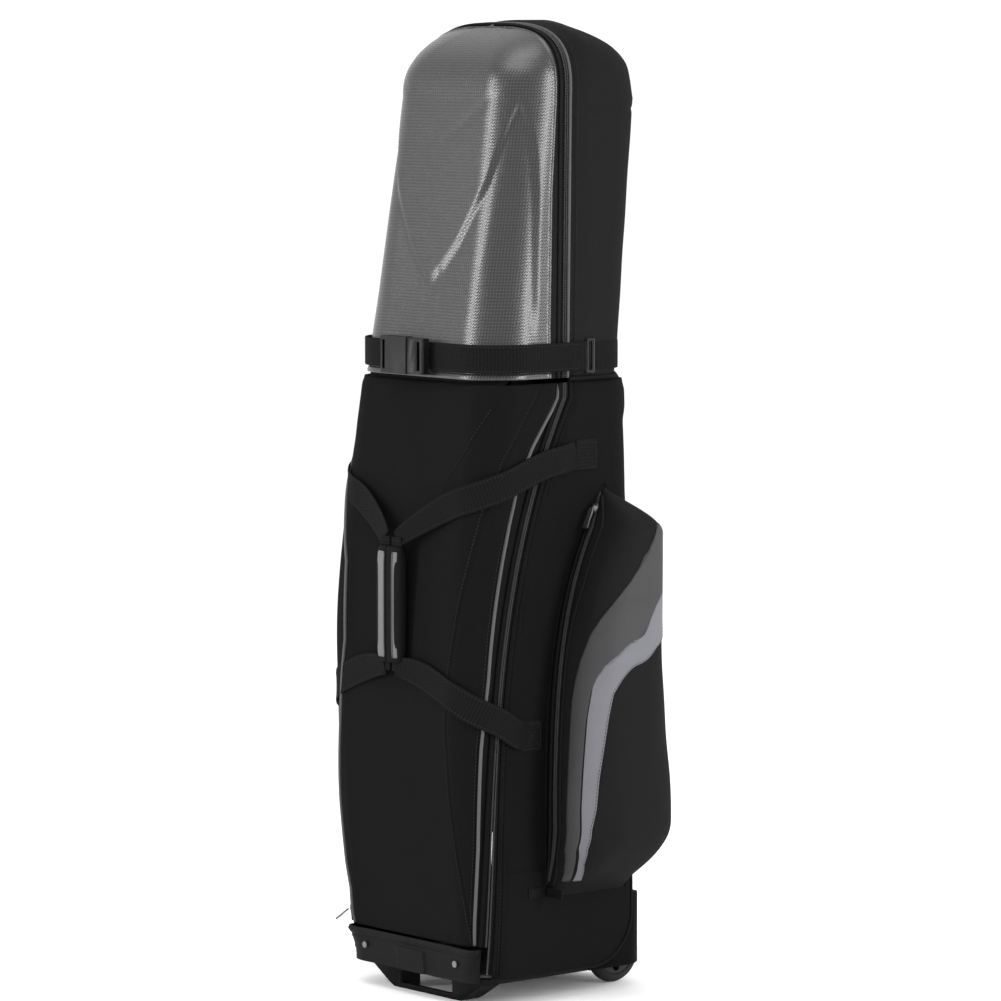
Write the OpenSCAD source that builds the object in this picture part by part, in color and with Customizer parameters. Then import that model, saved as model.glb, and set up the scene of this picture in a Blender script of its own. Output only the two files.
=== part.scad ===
// Golf travel case: hard top, soft wheeled body, side pockets, haul loops and a compression strap.
// Millimetres. +Z is up, the case faces -Y, and the origin is on the ground under its middle.

/* [Case] */
// Half of the width of the case
half_w = 150; // [140:1:160]
// Height of the whole case
case_h = 1303; // [1280:1:1330]
// Thickness of the padded fabric walls
wall = 4; // [3:0.5:6]

/* [Soft body] */
// Front of the soft body at its base, measured from the middle
base_front = 136; // [130:1:142]
// Front of the soft body at the waist
waist_front = 119; // [112:1:124]
// How far the front panel bows out
front_bulge = 33; // [20:1:36]
// Back of the soft body at its base
base_rear = 160; // [154:1:164]
// Back of the soft body at the waist
waist_rear = 125; // [120:1:132]
// Corner radius of the soft body
body_r = 45; // [40:1:50]

/* [Hard top] */
// Half width of the hard top at its shoulder
top_half_w = 140; // [134:1:146]
// Height of the shoulder where the top starts to round over
shoulder_z = 1204; // [1190:1:1215]
// Front of the hard top at the waist
top_front_low = 126; // [122:1:130]
// Front of the hard top at the shoulder
top_front_high = 72; // [66:1:78]
// Back of the hard top at the waist
top_rear_low = 112; // [108:1:116]
// Back of the hard top at the shoulder
top_rear_high = 149; // [144:1:152]
// Radius of the front edges of the hard top
top_edge_r = 66; // [55:1:70]

/* [Pockets] */
// Depth of a side pocket near its foot
pocket_low_deep = 110; // [90:1:115]
// Depth of a side pocket near its head
pocket_high_deep = 80; // [70:1:95]

/* [Wheels and foot] */
// Radius of a wheel
wheel_r = 42; // [40:0.5:43]
// Width of a wheel
wheel_w = 24; // [22:1:26]
// Distance from the middle of the case to the middle of a wheel
wheel_x = 95; // [92:1:96]
// Diameter of an axle
axle_d = 8; // [7:0.5:9]
// Height of the stand foot
foot_h = 33; // [31:1:34]

/* [Straps] */
// Width of the webbing
web_w = 38; // [32:1:40]
// Thickness of the webbing
web_t = 2.4; // [2:0.2:3]

/* [Hidden] */

right = 1;
left = -1;
// Heights that bound the soft body and the hard top
tray_z = 33;
body_z0 = 40;
body_z1 = 830;
panel_z0 = 84;
bumper_z = 78;
top_z0 = 836;
// Fabric stops this far from the middle of a zip, and the two zip tapes leave this gap
zip_half = 8;
zip_gap = 2;
tape_half = zip_half - 0.3;
// The wheel's middle and the radius of its arch in the fabric
wheel_y = 179 - wheel_r;
arch_r = 90;
arch_top = wheel_r + arch_r;
housing_x0 = 60;
// Pocket limits
pocket_z0 = 140;
pocket_z1 = 690;
pocket_rear = 124;
pocket_front_low = -28;
pocket_sweep = 100;
// Strap round the waist
strap_z0 = 845;
strap_z1 = strap_z0 + web_w;
buckle_z = (strap_z0 + strap_z1) / 2;
// Haul loop anchors on the sides: the y and z of the upper and the lower one
anchor_up = [22, 732];
anchor_low = [-74, 362];
grip_z0 = 456;
grip_z1 = 612;
grip_y = -175;

function lerp(a, b, t) = a + (b - a) * t;
function unit(v) = v / norm(v);
function clamp(t) = max(0, min(1, t));
function steps(a, b, n) = [for (i = [0:n]) lerp(a, b, i / n)];

// ---- Soft body outline ----
function body_t(z) = clamp((z - body_z0) / (body_z1 - body_z0));
function body_front(z) = -lerp(base_front, waist_front, body_t(z)) - front_bulge * sin(180 * body_t(z));
function body_rear(z) = lerp(base_rear, waist_rear, body_t(z));
// The zip starts low on the front corner and sweeps back along the side to the waist
function zip_y(z) = -123 + 124 * pow(clamp((z - 44) / 766), 3.2);

// A point and its normal, s along a rounded outline from the middle of its front
function outline(s, w, f, r, c) =
  let (a1 = w - c, a2 = a1 + c * PI / 2, a3 = a2 + r - f - 2 * c, a4 = a3 + c * PI / 2)
  s <= a1 ? [s, f, 0, -1] :
  s <= a2 ? let (q = (s - a1) / c * 180 / PI) [w - c + c * sin(q), f + c - c * cos(q), sin(q), -cos(q)] :
  s <= a3 ? [w, f + c + s - a2, 1, 0] :
  s <= a4 ? let (q = (s - a3) / c * 180 / PI) [w - c + c * cos(q), r - c + c * sin(q), cos(q), sin(q)] :
  [w - c - (s - a4), r, 0, 1];

// A point of the soft body, s round from the front and z up, pushed out by d
function body_pt(s, z, d) =
  let (p = outline(abs(s), half_w, body_front(z), body_rear(z), body_r), g = s < 0 ? -1 : 1)
  [g * (p[0] + d * p[2]), p[1] + d * p[3], z];

// How far round the body the side point with this y is
function body_s(y, z) =
  let (f = body_front(z), r = body_rear(z), c = body_r, side = half_w - c + c * PI / 2)
  y < f + c ? half_w - c + c * acos((f + c - y) / c) * PI / 180 :
  y < r - c ? side + y - f - c :
  side + r - f - 2 * c + c * asin((y - r + c) / c) * PI / 180;
function body_s_back(z) = half_w - body_r + body_r * PI + body_rear(z) - body_front(z) - 2 * body_r;
function zip_s(z) = body_s(zip_y(z), z);

// ---- Hard top outline ----
function top_t(z) = clamp((z - shoulder_z) / (case_h - shoulder_z));
function arch(z) = pow(max(0, 1 - pow(top_t(z), 3)), 1 / 3);
function low_t(z) = clamp((z - top_z0) / (shoulder_z - top_z0));
function top_w(z) = lerp(half_w, top_half_w, low_t(z)) * arch(z);
function rim_y(z) = 1 + 0.035 * (z - top_z0);
function top_front(z) = -lerp(top_front_low, top_front_high, low_t(z)) + 80 * pow(top_t(z), 2.6);
function top_rear(z) =
  lerp(top_rear_low, top_rear_high, low_t(z)) - 54 * pow(clamp((z - 1245) / (case_h - 1245)), 1.5);

// Right half of a level of the hard top: the front stretch up to the rim, and the back stretch
function top_front_row(z, d) =
  let (w = max(0.1, top_w(z) + d), f = top_front(z) - d, y1 = rim_y(z) - zip_half,
       ax = min(top_edge_r, w), ay = max(1, min(top_edge_r, y1 - f - 1)))
  concat([for (t = [0:0.25:1]) [(w - ax) * t, f]],
         [for (q = [15:15:90]) [w - ax + ax * sin(q), f + ay - ay * cos(q)]],
         [for (t = [0.5, 1]) [w, lerp(f + ay, y1, t)]]);
function top_rear_row(z, d) =
  let (w = max(0.1, top_w(z) + d), r = top_rear(z) + d, y0 = rim_y(z) + zip_half,
       q0 = lerp(40, 90, top_t(z)), ax = min(q0, w), ay = max(1, min(q0, r - y0 - 1)))
  concat([for (t = [0, 0.5]) [w, lerp(y0, r - ay, t)]],
         [for (q = [0:15:90]) [w - ax + ax * cos(q), r - ay + ay * sin(q)]],
         [for (t = [0.5, 1]) [(w - ax) * (1 - t), r]]);
function both(row) =
  concat([for (i = [len(row) - 1:-1:1]) [-row[i][0], row[i][1]]], row);
function mirrored_back(row) =
  concat(row, [for (i = [len(row) - 2:-1:0]) [-row[i][0], row[i][1]]]);
function at(row, z) = [for (p = row) [p[0], p[1], z]];
// The inside of the top ends lower than its outside by the wall
function sunk(z, d) = z + d * top_t(z);

// ---- Side pocket ----
function pocket_t(z) = clamp((z - pocket_z0) / (pocket_z1 - pocket_z0));
function pocket_front(z) = pocket_front_low + pocket_sweep * pow(pocket_t(z), 4);
// The rounding of the pocket's bottom and of its top, 0 at the very end and 1 where it is full
function pocket_foot(z) = pow(sin(90 * clamp(pocket_t(z) / 0.19)), 1.1);
function pocket_head(z) = pow(sin(90 * clamp((1 - pocket_t(z)) / 0.113)), 1.36);
function pocket_deep(z) =
  lerp(pocket_low_deep, pocket_high_deep, pocket_t(z)) * pocket_foot(z) * pocket_head(z);
function pocket_back(z) = pocket_rear - 16 * (1 - pocket_foot(z)) - 54 * (1 - pocket_head(z));
function signed_pow(v, e) = sign(v) * pow(abs(v), e);
// a runs from 0 at the front edge to 180 at the back edge; d is outwards
function pocket_pt(a, z, d) =
  let (f = pocket_front(z) - d, r = pocket_back(z) + d)
  [half_w + 0.4 + max(0, pocket_deep(z) + d) * pow(max(0, sin(a)), 0.6),
   (f + r) / 2 - (r - f) / 2 * signed_pow(cos(a), 0.6), z];

// ---- Skins: a closed sheet between two grids of points ----
module skin(outer, inner) {
  m = len(outer);
  n = len(outer[0]);
  k = m * n;
  points = concat([for (row = outer) for (p = row) p], [for (row = inner) for (p = row) p]);
  faces = concat(
    [for (i = [0:m - 2]) for (j = [0:n - 2]) each
      let (a = i * n + j, b = a + 1, c = a + n, e = c + 1)
      [[a, c, b], [b, c, e], [a + k, b + k, c + k], [b + k, e + k, c + k]]],
    [for (j = [0:n - 2]) each let (a = j, b = (m - 1) * n + j)
      [[a, a + 1, a + k], [a + 1, a + 1 + k, a + k], [b, b + k, b + 1], [b + 1, b + k, b + 1 + k]]],
    [for (i = [0:m - 2]) each let (a = i * n, b = i * n + n - 1)
      [[a, a + k, a + n], [a + k, a + n + k, a + n], [b, b + n, b + k], [b + k, b + n, b + n + k]]]);
  polyhedron(points, faces);
}

// A sheet of the soft body between two limits of s, each a list with one value per height
module body_sheet(zs, s0, s1, n, out, in) {
  skin([for (i = [0:len(zs) - 1]) [for (s = steps(s0[i], s1[i], n)) body_pt(s, zs[i], out)]],
       [for (i = [0:len(zs) - 1]) [for (s = steps(s0[i], s1[i], n)) body_pt(s, zs[i], in)]]);
}

// The same sheet on one side: side is right or left
module side_sheet(side, zs, s0, s1, n, out, in) {
  if (side > 0) body_sheet(zs, s0, s1, n, out, in);
  else body_sheet(zs, -s1, -s0, n, out, in);
}

// A sheet of one pocket between two angles, each a list with one value per height
module pocket_sheet(side, zs, a0, a1, n, out, in) {
  mirror([side > 0 ? 0 : 1, 0, 0])
  skin([for (i = [0:len(zs) - 1]) [for (a = steps(a0[i], a1[i], n)) pocket_pt(a, zs[i], out)]],
       [for (i = [0:len(zs) - 1]) [for (a = steps(a0[i], a1[i], n)) pocket_pt(a, zs[i], in)]]);
}

// A round or flat bar swept along points; each station is [point, across, out, half width, half height]
module swept(stations) {
  n = len(stations);
  points = [for (q = stations) each
    [q[0] - q[1] * q[3] - q[2] * q[4], q[0] + q[1] * q[3] - q[2] * q[4],
     q[0] + q[1] * q[3] + q[2] * q[4], q[0] - q[1] * q[3] + q[2] * q[4]]];
  sides = [for (i = [0:n - 2]) for (j = [0:3]) each
    let (a = i * 4 + j, b = i * 4 + (j + 1) % 4) [[a, b, a + 4], [b, b + 4, a + 4]]];
  e = (n - 1) * 4;
  polyhedron(points, concat(sides, [[0, 2, 1], [0, 3, 2], [e, e + 1, e + 2], [e, e + 2, e + 3]]));
}

// ---- Hard top ----
top_rows = concat(steps(top_z0, shoulder_z, 5),
                  [for (q = [20, 37, 52, 64, 74, 82, 87, 90]) shoulder_z + (case_h - shoulder_z) * sin(q)]);
module front_shell() {
  color("gray")
  skin([for (z = top_rows) at(both(top_front_row(z, 0)), z)],
       [for (z = top_rows) at(both(top_front_row(z, -3)), sunk(z, -3))]);
}
module rear_dome() {
  color([0.16, 0.16, 0.17])
  skin([for (z = top_rows) at(mirrored_back(top_rear_row(z, 0)), z)],
       [for (z = top_rows) at(mirrored_back(top_rear_row(z, -wall)), sunk(z, -wall))]);
}

// A band that follows the rim of the hard top, from the right foot over the top to the left foot.
// y0 and y1 are measured from the rim, and out and in from the surface.
module rim_band(y0, y1, out, in) {
  n = len(top_rows);
  up = [for (z = top_rows) [top_w(z), z]];
  hoop = concat(up, [for (i = [n - 2:-1:0]) [-up[i][0], up[i][1]]]);
  m = len(hoop);
  normals = [for (i = [0:m - 1])
    let (a = hoop[max(0, i - 1)], b = hoop[min(m - 1, i + 1)], t = unit(b - a)) [t[1], -t[0]]];
  function hoop_pt(i, y, d) =
    [hoop[i][0] + normals[i][0] * d, rim_y(hoop[i][1]) + y, hoop[i][1] + normals[i][1] * d];
  swept([for (i = [0:m - 1])
    let (p = hoop_pt(i, (y0 + y1) / 2, (out + in) / 2))
    [p, [0, 1, 0], [normals[i][0], 0, normals[i][1]], (y1 - y0) / 2, (out - in) / 2]]);
}
module shell_piping() {
  color([0.45, 0.45, 0.47]) rim_band(-zip_half - 4, -zip_half - 0.2, 2.6, 0.2);
}
module shell_zip() {
  color([0.1, 0.1, 0.1]) rim_band(-tape_half, -zip_gap, 0, -2);
}
module dome_piping() {
  color([0.25, 0.25, 0.27]) rim_band(zip_half + 0.2, zip_half + 4, 2.6, 0.2);
}
module dome_zip() {
  color([0.1, 0.1, 0.1]) rim_band(zip_gap, tape_half, 0, -2);
}

// ---- Soft body ----
panel_rows = steps(panel_z0, body_z1, 13);
module front_panel() {
  edge = [for (z = panel_rows) zip_s(z) - zip_half];
  color([0.17, 0.17, 0.18]) body_sheet(panel_rows, -edge, edge, 22, 0, -wall);
}
module zip_tape(side, rows, s0, s1, out, in) {
  side_sheet(side, rows, [for (z = rows) zip_s(z) + s0], [for (z = rows) zip_s(z) + s1], 1, out, in);
}
module panel_zip() {
  color([0.1, 0.1, 0.1]) for (side = [right, left]) zip_tape(side, panel_rows, -tape_half, -zip_gap, -0.6, -2.4);
}
module panel_piping() {
  color([0.45, 0.45, 0.47])
  for (side = [right, left]) zip_tape(side, panel_rows, -zip_half - 5, -zip_half - 1.4, 2.2, 0);
}
gusset_rows = concat([for (q = [0, 18, 36, 52, 66, 80]) wheel_r + arch_r * sin(q)], [arch_top + 1],
                     steps(arch_top + 40, body_z1, 8));
module body_zip() {
  color([0.1, 0.1, 0.1]) for (side = [right, left]) zip_tape(side, gusset_rows, zip_gap, tape_half, -0.6, -2.4);
}
function arch_y(z) = wheel_y - sqrt(max(0, arch_r * arch_r - pow(z - wheel_r, 2)));
module gusset(side) {
  color([0.14, 0.14, 0.15])
  side_sheet(side, gusset_rows, [for (z = gusset_rows) zip_s(z) + zip_half],
             [for (z = gusset_rows) z < arch_top ? body_s(arch_y(z), z) : body_s_back(z)], 8, 0, -wall);
}
module right_gusset() { gusset(right); }
module left_gusset() { gusset(left); }

// A flat sheet across the back, y0 behind the back face of the body
module back_sheet(x, z0, z1, gap, t) {
  y0 = body_rear(z0) - gap;
  y1 = body_rear(z1) - gap;
  skin([[[x, y0, z0], [-x, y0, z0]], [[x, y1, z1], [-x, y1, z1]]],
       [[[x, y0 - t, z0], [-x, y0 - t, z0]], [[x, y1 - t, z1], [-x, y1 - t, z1]]]);
}
module back_panel() {
  color([0.14, 0.14, 0.15]) {
    back_sheet(half_w - body_r, arch_top + 1, body_z1, 0, wall);
    back_sheet(housing_x0 - 1, body_z0, arch_top + 1, 0, wall);
  }
}
module back_stiffener() {
  color([0.3, 0.3, 0.3]) back_sheet(98, arch_top + 12, 815, wall + 0.5, 3);
}
module inner_straps() {
  color([0.2, 0.2, 0.2])
  for (z = [300, 620]) back_sheet(96, z, z + web_w, wall + 4, web_t);
}
// Fabric step between the wider soft body and the foot of the hard top, behind the zip
module waist_band() {
  foot = top_rear_row(top_z0, 0);
  n = len(foot) - 1;
  s0 = zip_s(body_z1) + zip_half;
  s1 = body_s_back(body_z1) + half_w - body_r;
  ss = steps(s0, s1, n);
  color([0.13, 0.13, 0.14]) for (side = [right, left]) mirror([side > 0 ? 0 : 1, 0, 0])
    skin([[for (s = ss) body_pt(s, body_z1, 0)], at(foot, top_z0)],
         [[for (s = ss) body_pt(s, body_z1, -wall)], at(top_rear_row(top_z0, -wall), top_z0)]);
}

// ---- Base ----
module base_outline(inset) {
  f = body_front(body_z0) + inset;
  r = base_rear - inset;
  c = body_r - inset;
  translate([0, (f + r) / 2]) hull() for (x = [-1, 1]) for (y = [-1, 1])
    translate([x * (half_w - inset - c), y * ((r - f) / 2 - c)]) circle(r = c, $fn = 64);
}
// Clears the round wheel housings, m wider than they are
module housing_space(m) {
  for (side = [right, left])
    translate([side > 0 ? housing_x0 - m : -half_w - 5, wheel_y, wheel_r]) rotate([0, 90, 0])
      cylinder(r = arch_r - 2 + m, h = half_w + 5 - housing_x0 + m, $fn = 96);
}
module base_tray() {
  color([0.1, 0.1, 0.1]) difference() {
    translate([0, 0, tray_z]) linear_extrude(6.5) base_outline(3);
    housing_space(0.6);
  }
}
module base_board() {
  color([0.3, 0.25, 0.2]) difference() {
    translate([0, 0, tray_z + 7]) linear_extrude(4) base_outline(7);
    housing_space(2);
  }
}
module base_bumper() {
  rows = [tray_z, 45, 60, bumper_z];
  edge = [for (z = rows) zip_s(max(z, 46)) - zip_half];
  color([0.12, 0.12, 0.12]) body_sheet(rows, -edge, edge, 18, 3, -2);
}
module bumper_screws() {
  color([0.5, 0.5, 0.5]) for (x = [-96, 96])
    translate([x, body_front(57) - 3.6, 57]) rotate([90, 0, 0]) cylinder(d = 9, h = 2, $fn = 32);
}
module foot_stand() {
  top = 120;
  bottom = 76;
  slot_w = 54;
  deep = 35;
  bar = 14;
  color([0.1, 0.1, 0.1]) translate([0, -78, 0]) difference() {
    rotate([90, 0, 0]) linear_extrude(deep) difference() {
      polygon([[-bottom + 6, 0], [bottom - 6, 0], [bottom + 3, 4], [top - 8, 24], [top, foot_h],
               [-top, foot_h], [-top + 8, 24], [-bottom - 3, 4]]);
      translate([-slot_w, 6]) square([2 * slot_w, 24]);
    }
    translate([-slot_w, bar - deep, -1]) cube([2 * slot_w, deep, foot_h + 2]);
  }
}

// ---- Wheels: housing, tyre, hub, bearings and axle ----
axle_x0 = wheel_x - wheel_w / 2 - 9;
axle_len = wheel_w + 18;
module on_axle(side, x) {
  translate([side * x, wheel_y, wheel_r]) rotate([0, side * 90, 0]) children();
}
module wheel_housing(side) {
  color([0.09, 0.09, 0.09]) difference() {
    intersection() {
      on_axle(side, housing_x0) cylinder(r = arch_r - 2, h = half_w - 0.5 - housing_x0, $fn = 96);
      translate([0, 0, tray_z]) linear_extrude(arch_r + 20) base_outline(0.5);
    }
    on_axle(side, wheel_x - wheel_w / 2 - 3) cylinder(r = wheel_r + 5, h = wheel_w + 6, $fn = 96);
    on_axle(side, axle_x0) cylinder(d = axle_d, h = axle_len, $fn = 48);
  }
}
module tyre(side) {
  r1 = wheel_r;
  r0 = wheel_r - 12;
  w = wheel_w / 2;
  color([0.15, 0.15, 0.15]) on_axle(side, wheel_x) rotate_extrude($fn = 96)
    polygon(concat([[r0, -w + 3], [r0, w - 3]],
                   [for (q = [90:-15:-90]) [r1 - w * 0.8 + w * 0.8 * cos(q), (w - 1) * sin(q)]]));
}
bearing_r = 11;
module hub(side) {
  color([0.35, 0.35, 0.36]) on_axle(side, wheel_x) difference() {
    cylinder(r = wheel_r - 12, h = wheel_w - 6, center = true, $fn = 96);
    cylinder(r = bearing_r, h = wheel_w, center = true, $fn = 64);
    for (q = [0:60:300]) rotate([0, 0, q]) translate([20.5, 0, 0])
      cylinder(r = 5.5, h = wheel_w, center = true, $fn = 32);
  }
}
module bearings(side) {
  color([0.7, 0.7, 0.72]) on_axle(side, wheel_x) for (z = [-1, 1]) translate([0, 0, z * (wheel_w / 2 - 6.5)])
    difference() {
      cylinder(r = bearing_r, h = 7, center = true, $fn = 64);
      cylinder(d = axle_d + 0.1, h = 8, center = true, $fn = 48);
    }
}
module axle(side) {
  color([0.6, 0.6, 0.62]) on_axle(side, axle_x0) cylinder(d = axle_d, h = axle_len, $fn = 48);
}
module right_wheel_housing() { wheel_housing(right); }
module left_wheel_housing() { wheel_housing(left); }
module right_tyre() { tyre(right); }
module left_tyre() { tyre(left); }
module right_hub() { hub(right); }
module left_hub() { hub(left); }
module right_bearings() { bearings(right); }
module left_bearings() { bearings(left); }
module right_axle() { axle(right); }
module left_axle() { axle(left); }

// ---- Side pockets ----
pocket_rows = [for (t = [0, 0.02, 0.05, 0.09, 0.14, 0.2, 0.275, 0.35, 0.425, 0.5, 0.575, 0.65, 0.715, 0.78, 0.825,
                         0.87, 0.91, 0.94, 0.965, 0.985, 1])
  lerp(pocket_z0, pocket_z1, t)];
pocket_angles = [0, 8, 18, 30, 45, 62, 80, 100, 120, 138, 152, 164, 173, 180];
module pocket(side) {
  squeeze = 1 - 2 * wall / (pocket_z1 - pocket_z0);
  color([0.15, 0.15, 0.16]) mirror([side > 0 ? 0 : 1, 0, 0])
  skin([for (z = pocket_rows) [for (a = pocket_angles) pocket_pt(a, z, 0)]],
       [for (z = pocket_rows) [for (a = pocket_angles)
         let (p = pocket_pt(a, z, -wall)) [p[0], p[1], pocket_z0 + wall + (z - pocket_z0) * squeeze]]]);
}
module right_pocket() { pocket(right); }
module left_pocket() { pocket(left); }

// The zip stands on the front of the pocket, and the slider runs on a straight stretch of it
zip_angle = 4;
zip_spread = 2.2;
pocket_zip_rows = [for (z = pocket_rows) if (z > 165 && z < 683) z];
module pocket_zip(side) {
  low = [for (z = pocket_zip_rows) zip_angle - zip_spread];
  high = [for (z = pocket_zip_rows) zip_angle + zip_spread];
  color([0.08, 0.08, 0.08]) pocket_sheet(side, pocket_zip_rows, low, high, 2, 2, 0.3);
}
module right_pocket_zip() { pocket_zip(right); }
module left_pocket_zip() { pocket_zip(left); }

// A zip slider: its middle, the way it travels and the way out of the fabric
module slider_at(p, along, out) {
  across = cross(along, out);
  swept([for (k = [-1, -0.4, 0.4, 1])
    [p + along * 7 * k, across, out, abs(k) > 0.5 ? 3.4 : 4.8, 1.6]]);
  swept([for (k = [-0.5, 0.5]) [p + along * 6 * k + out * 2.4, across, out, 1.2, 1]]);
}
module pull_at(p, along, out, length) {
  across = cross(along, out);
  swept([for (k = [0, 0.15, 0.5, 1])
    [p + along * length * k, across, out, k < 0.1 ? 2.5 : lerp(4, 5.2, k), k < 0.3 ? 1 : 1.3]]);
}
slider_z = 660;
slider_low_z = 580;
pocket_top = pocket_pt(zip_angle, slider_z, 5.4);
pocket_low = pocket_pt(zip_angle, slider_low_z, 7.6);
pocket_run = unit(pocket_low - pocket_top);
pocket_side = unit(pocket_pt(zip_angle + 1, slider_z, 0) - pocket_pt(zip_angle - 1, slider_z, 0));
pocket_out = unit(cross(pocket_side, -pocket_run));
module right_pocket_slider() {
  color([0.3, 0.3, 0.3]) slider_at(pocket_top, pocket_run, pocket_out);
}
module left_pocket_slider() { mirror([1, 0, 0]) right_pocket_slider(); }
module right_pocket_pull() {
  color([0.55, 0.55, 0.55])
  pull_at(pocket_top + pocket_out * 5.4 + pocket_run * 1, pocket_run, pocket_out, 30);
}
module left_pocket_pull() { mirror([1, 0, 0]) right_pocket_pull(); }

// Swooshes: two bands that rise from the foot of the pocket and sweep to its back edge
swoosh_rows = [for (i = [2:len(pocket_rows) - 2]) each [pocket_rows[i], (pocket_rows[i] + pocket_rows[i + 1]) / 2]];
function swoosh_angle(z, low, high, z0) =
  low + (high - low) * pow(clamp((z - 165) / (z0 - 165)), 4);
module swoosh(side, low0, low1, z0, z1) {
  rows = [for (z = swoosh_rows) if (z < z1 - 5) z];
  color([0.4, 0.4, 0.42])
  pocket_sheet(side, rows, [for (z = rows) swoosh_angle(z, low0, 150, z1)],
               [for (z = rows) swoosh_angle(z, low1, 150, z0)], 12, 3, 2.2);
}
module right_dark_swoosh() { swoosh(right, 12, 23, 592, 665); }
module right_pale_swoosh() { swoosh(right, 26, 33, 515, 585); }
module left_dark_swoosh() { swoosh(left, 12, 23, 592, 665); }
module left_pale_swoosh() { swoosh(left, 26, 33, 515, 585); }

// ---- Compression strap ----
strap_rows = [strap_z0, strap_z1];
strap_gap = 3;
hook_y = 46;
hook_half = 8;
module rear_strap() {
  function row(z, d) = let (start = hook_y + hook_half + 0.5)
    concat([[top_w(z) + d, start]], [for (p = top_rear_row(z, d)) if (p[1] > start + 4) p]);
  color([0.1, 0.1, 0.1])
  skin([for (z = strap_rows) at(mirrored_back(row(z, 0.4 + web_t)), z)],
       [for (z = strap_rows) at(mirrored_back(row(z, 0.4)), z)]);
}
module front_strap(side) {
  function row(z, d) = concat([[34, top_front(z) - d]], [for (p = top_front_row(z, d)) if (p[0] > 40) p],
                              [[top_w(z) + d, hook_y - hook_half - 1]]);
  color([0.1, 0.1, 0.1]) mirror([side > 0 ? 0 : 1, 0, 0])
  skin([for (z = strap_rows) at(row(z, strap_gap + web_t), z)], [for (z = strap_rows) at(row(z, strap_gap), z)]);
}
module front_strap_right() { front_strap(right); }
module front_strap_left() { front_strap(left); }
module strap_hooks() {
  color([0.2, 0.2, 0.2]) for (side = [right, left])
    translate([side * (top_w(strap_z0) + 2.4), hook_y, buckle_z]) rotate([0, 90, 0]) difference() {
      cube([web_w + 8, 2 * hook_half, 4], center = true);
      cube([web_w + 1, 6, 6], center = true);
    }
}

// ---- Side-release buckle ----
buckle_y = top_front(strap_z0) - strap_gap - web_t - 7;
socket_x = -58;
socket_len = 54;
module buckle_box(x0, x1, h, t) {
  translate([x0, buckle_y - t / 2, buckle_z - h / 2]) cube([x1 - x0, t, h]);
}
module buckle_socket() {
  color([0.1, 0.1, 0.1]) difference() {
    buckle_box(socket_x, socket_x + socket_len, 50, 13);
    buckle_box(socket_x + 14, socket_x + socket_len + 1, 42, 8);
    buckle_box(socket_x + 15, socket_x + socket_len - 10, 60, 8);
    buckle_box(socket_x + 4, socket_x + 9, web_w + 1, 30);
  }
}
module buckle_plug() {
  x1 = socket_x + socket_len + 1;
  color([0.12, 0.12, 0.12]) difference() {
    union() {
      buckle_box(x1, x1 + 34, 48, 11);
      buckle_box(x1 - 30, x1, 8, 6);
    }
    buckle_box(x1 + 20, x1 + 26, web_w + 1, 30);
  }
}
module buckle_arm(up) {
  x1 = socket_x + socket_len + 0.6;
  color([0.12, 0.12, 0.12]) translate([0, buckle_y, buckle_z]) scale([1, 1, up])
    rotate([90, 0, 0]) translate([0, 0, -3]) linear_extrude(6)
      polygon([[x1, 14], [x1, 19], [x1 - 26, 22], [x1 - 29, 23.5], [x1 - 35, 23.5], [x1 - 38, 19],
               [x1 - 34, 15.5], [x1 - 22, 15]]);
}
module buckle_upper_arm() { buckle_arm(1); }
module buckle_lower_arm() { buckle_arm(-1); }

// ---- Haul loops: webbing from the upper anchor round the front and back to the lower anchor ----
anchor_x = half_w + 1 + web_t / 2;
axis_dir = unit([0, anchor_up[0] - anchor_low[0], anchor_up[1] - anchor_low[1]]);
// One run of a loop from its anchor, k = 0, to the end of the grip, k = 1
function run_pt(anchor, z1, k) =
  let (s0 = body_s(anchor[0], anchor[1]), z = lerp(anchor[1], z1, k), s = lerp(s0, 15, k),
       p = body_pt(s, z, 5 + web_t / 2), lift = pow(k, 3), b = grip_y + 3)
  [p[0], lerp(p[1], b, lift), z];
function run_station(anchor, z1, k) =
  let (a = run_pt(anchor, z1, max(0, k - 0.02)), b = run_pt(anchor, z1, min(1, k + 0.02)), t = unit(b - a),
       p = run_pt(anchor, z1, k), flat = [t[0], t[1], 0], n = unit([flat[1], -flat[0], 0]),
       out = n[0] * p[0] + n[1] * p[1] > 0 ? n : -n, across = unit(cross(t, out)),
       hold = k < 0.01 ? (across * axis_dir > 0 ? axis_dir : -axis_dir) : across)
  [k < 0.01 ? [anchor_x, anchor[0], anchor[1]] : p, hold, k < 0.01 ? [1, 0, 0] : out,
   lerp(web_w / 2, 10, pow(k, 2)), web_t / 2];
module haul_run(anchor, z1) {
  ks = [0, 0.06, 0.14, 0.22, 0.3, 0.38, 0.46, 0.54, 0.62, 0.7, 0.78, 0.86, 0.93, 1];
  swept([for (k = ks) run_station(anchor, z1, k)]);
}
module haul_loop(side) {
  color([0.11, 0.11, 0.11]) mirror([side > 0 ? 0 : 1, 0, 0]) {
    haul_run(anchor_up, grip_z1 + 14);
    haul_run(anchor_low, grip_z0 - 14);
    translate([5, grip_y + 3 - web_t / 2, grip_z0 - 16]) cube([20, web_t, grip_z1 - grip_z0 + 32]);
  }
}
module right_haul_loop() { haul_loop(right); }
module left_haul_loop() { haul_loop(left); }
module grip(side) {
  color([0.12, 0.12, 0.13]) mirror([side > 0 ? 0 : 1, 0, 0]) difference() {
    translate([0.4, grip_y + 3, grip_z0]) linear_extrude(grip_z1 - grip_z0) intersection() {
      scale([1, 0.4]) circle(r = 27, $fn = 48);
      translate([0, -20]) square([40, 40]);
    }
    translate([4.6, grip_y + 3 - web_t / 2 - 0.1, grip_z0 - 1]) cube([20.8, web_t + 0.2, grip_z1 - grip_z0 + 2]);
  }
}
module right_grip() { grip(right); }
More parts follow.
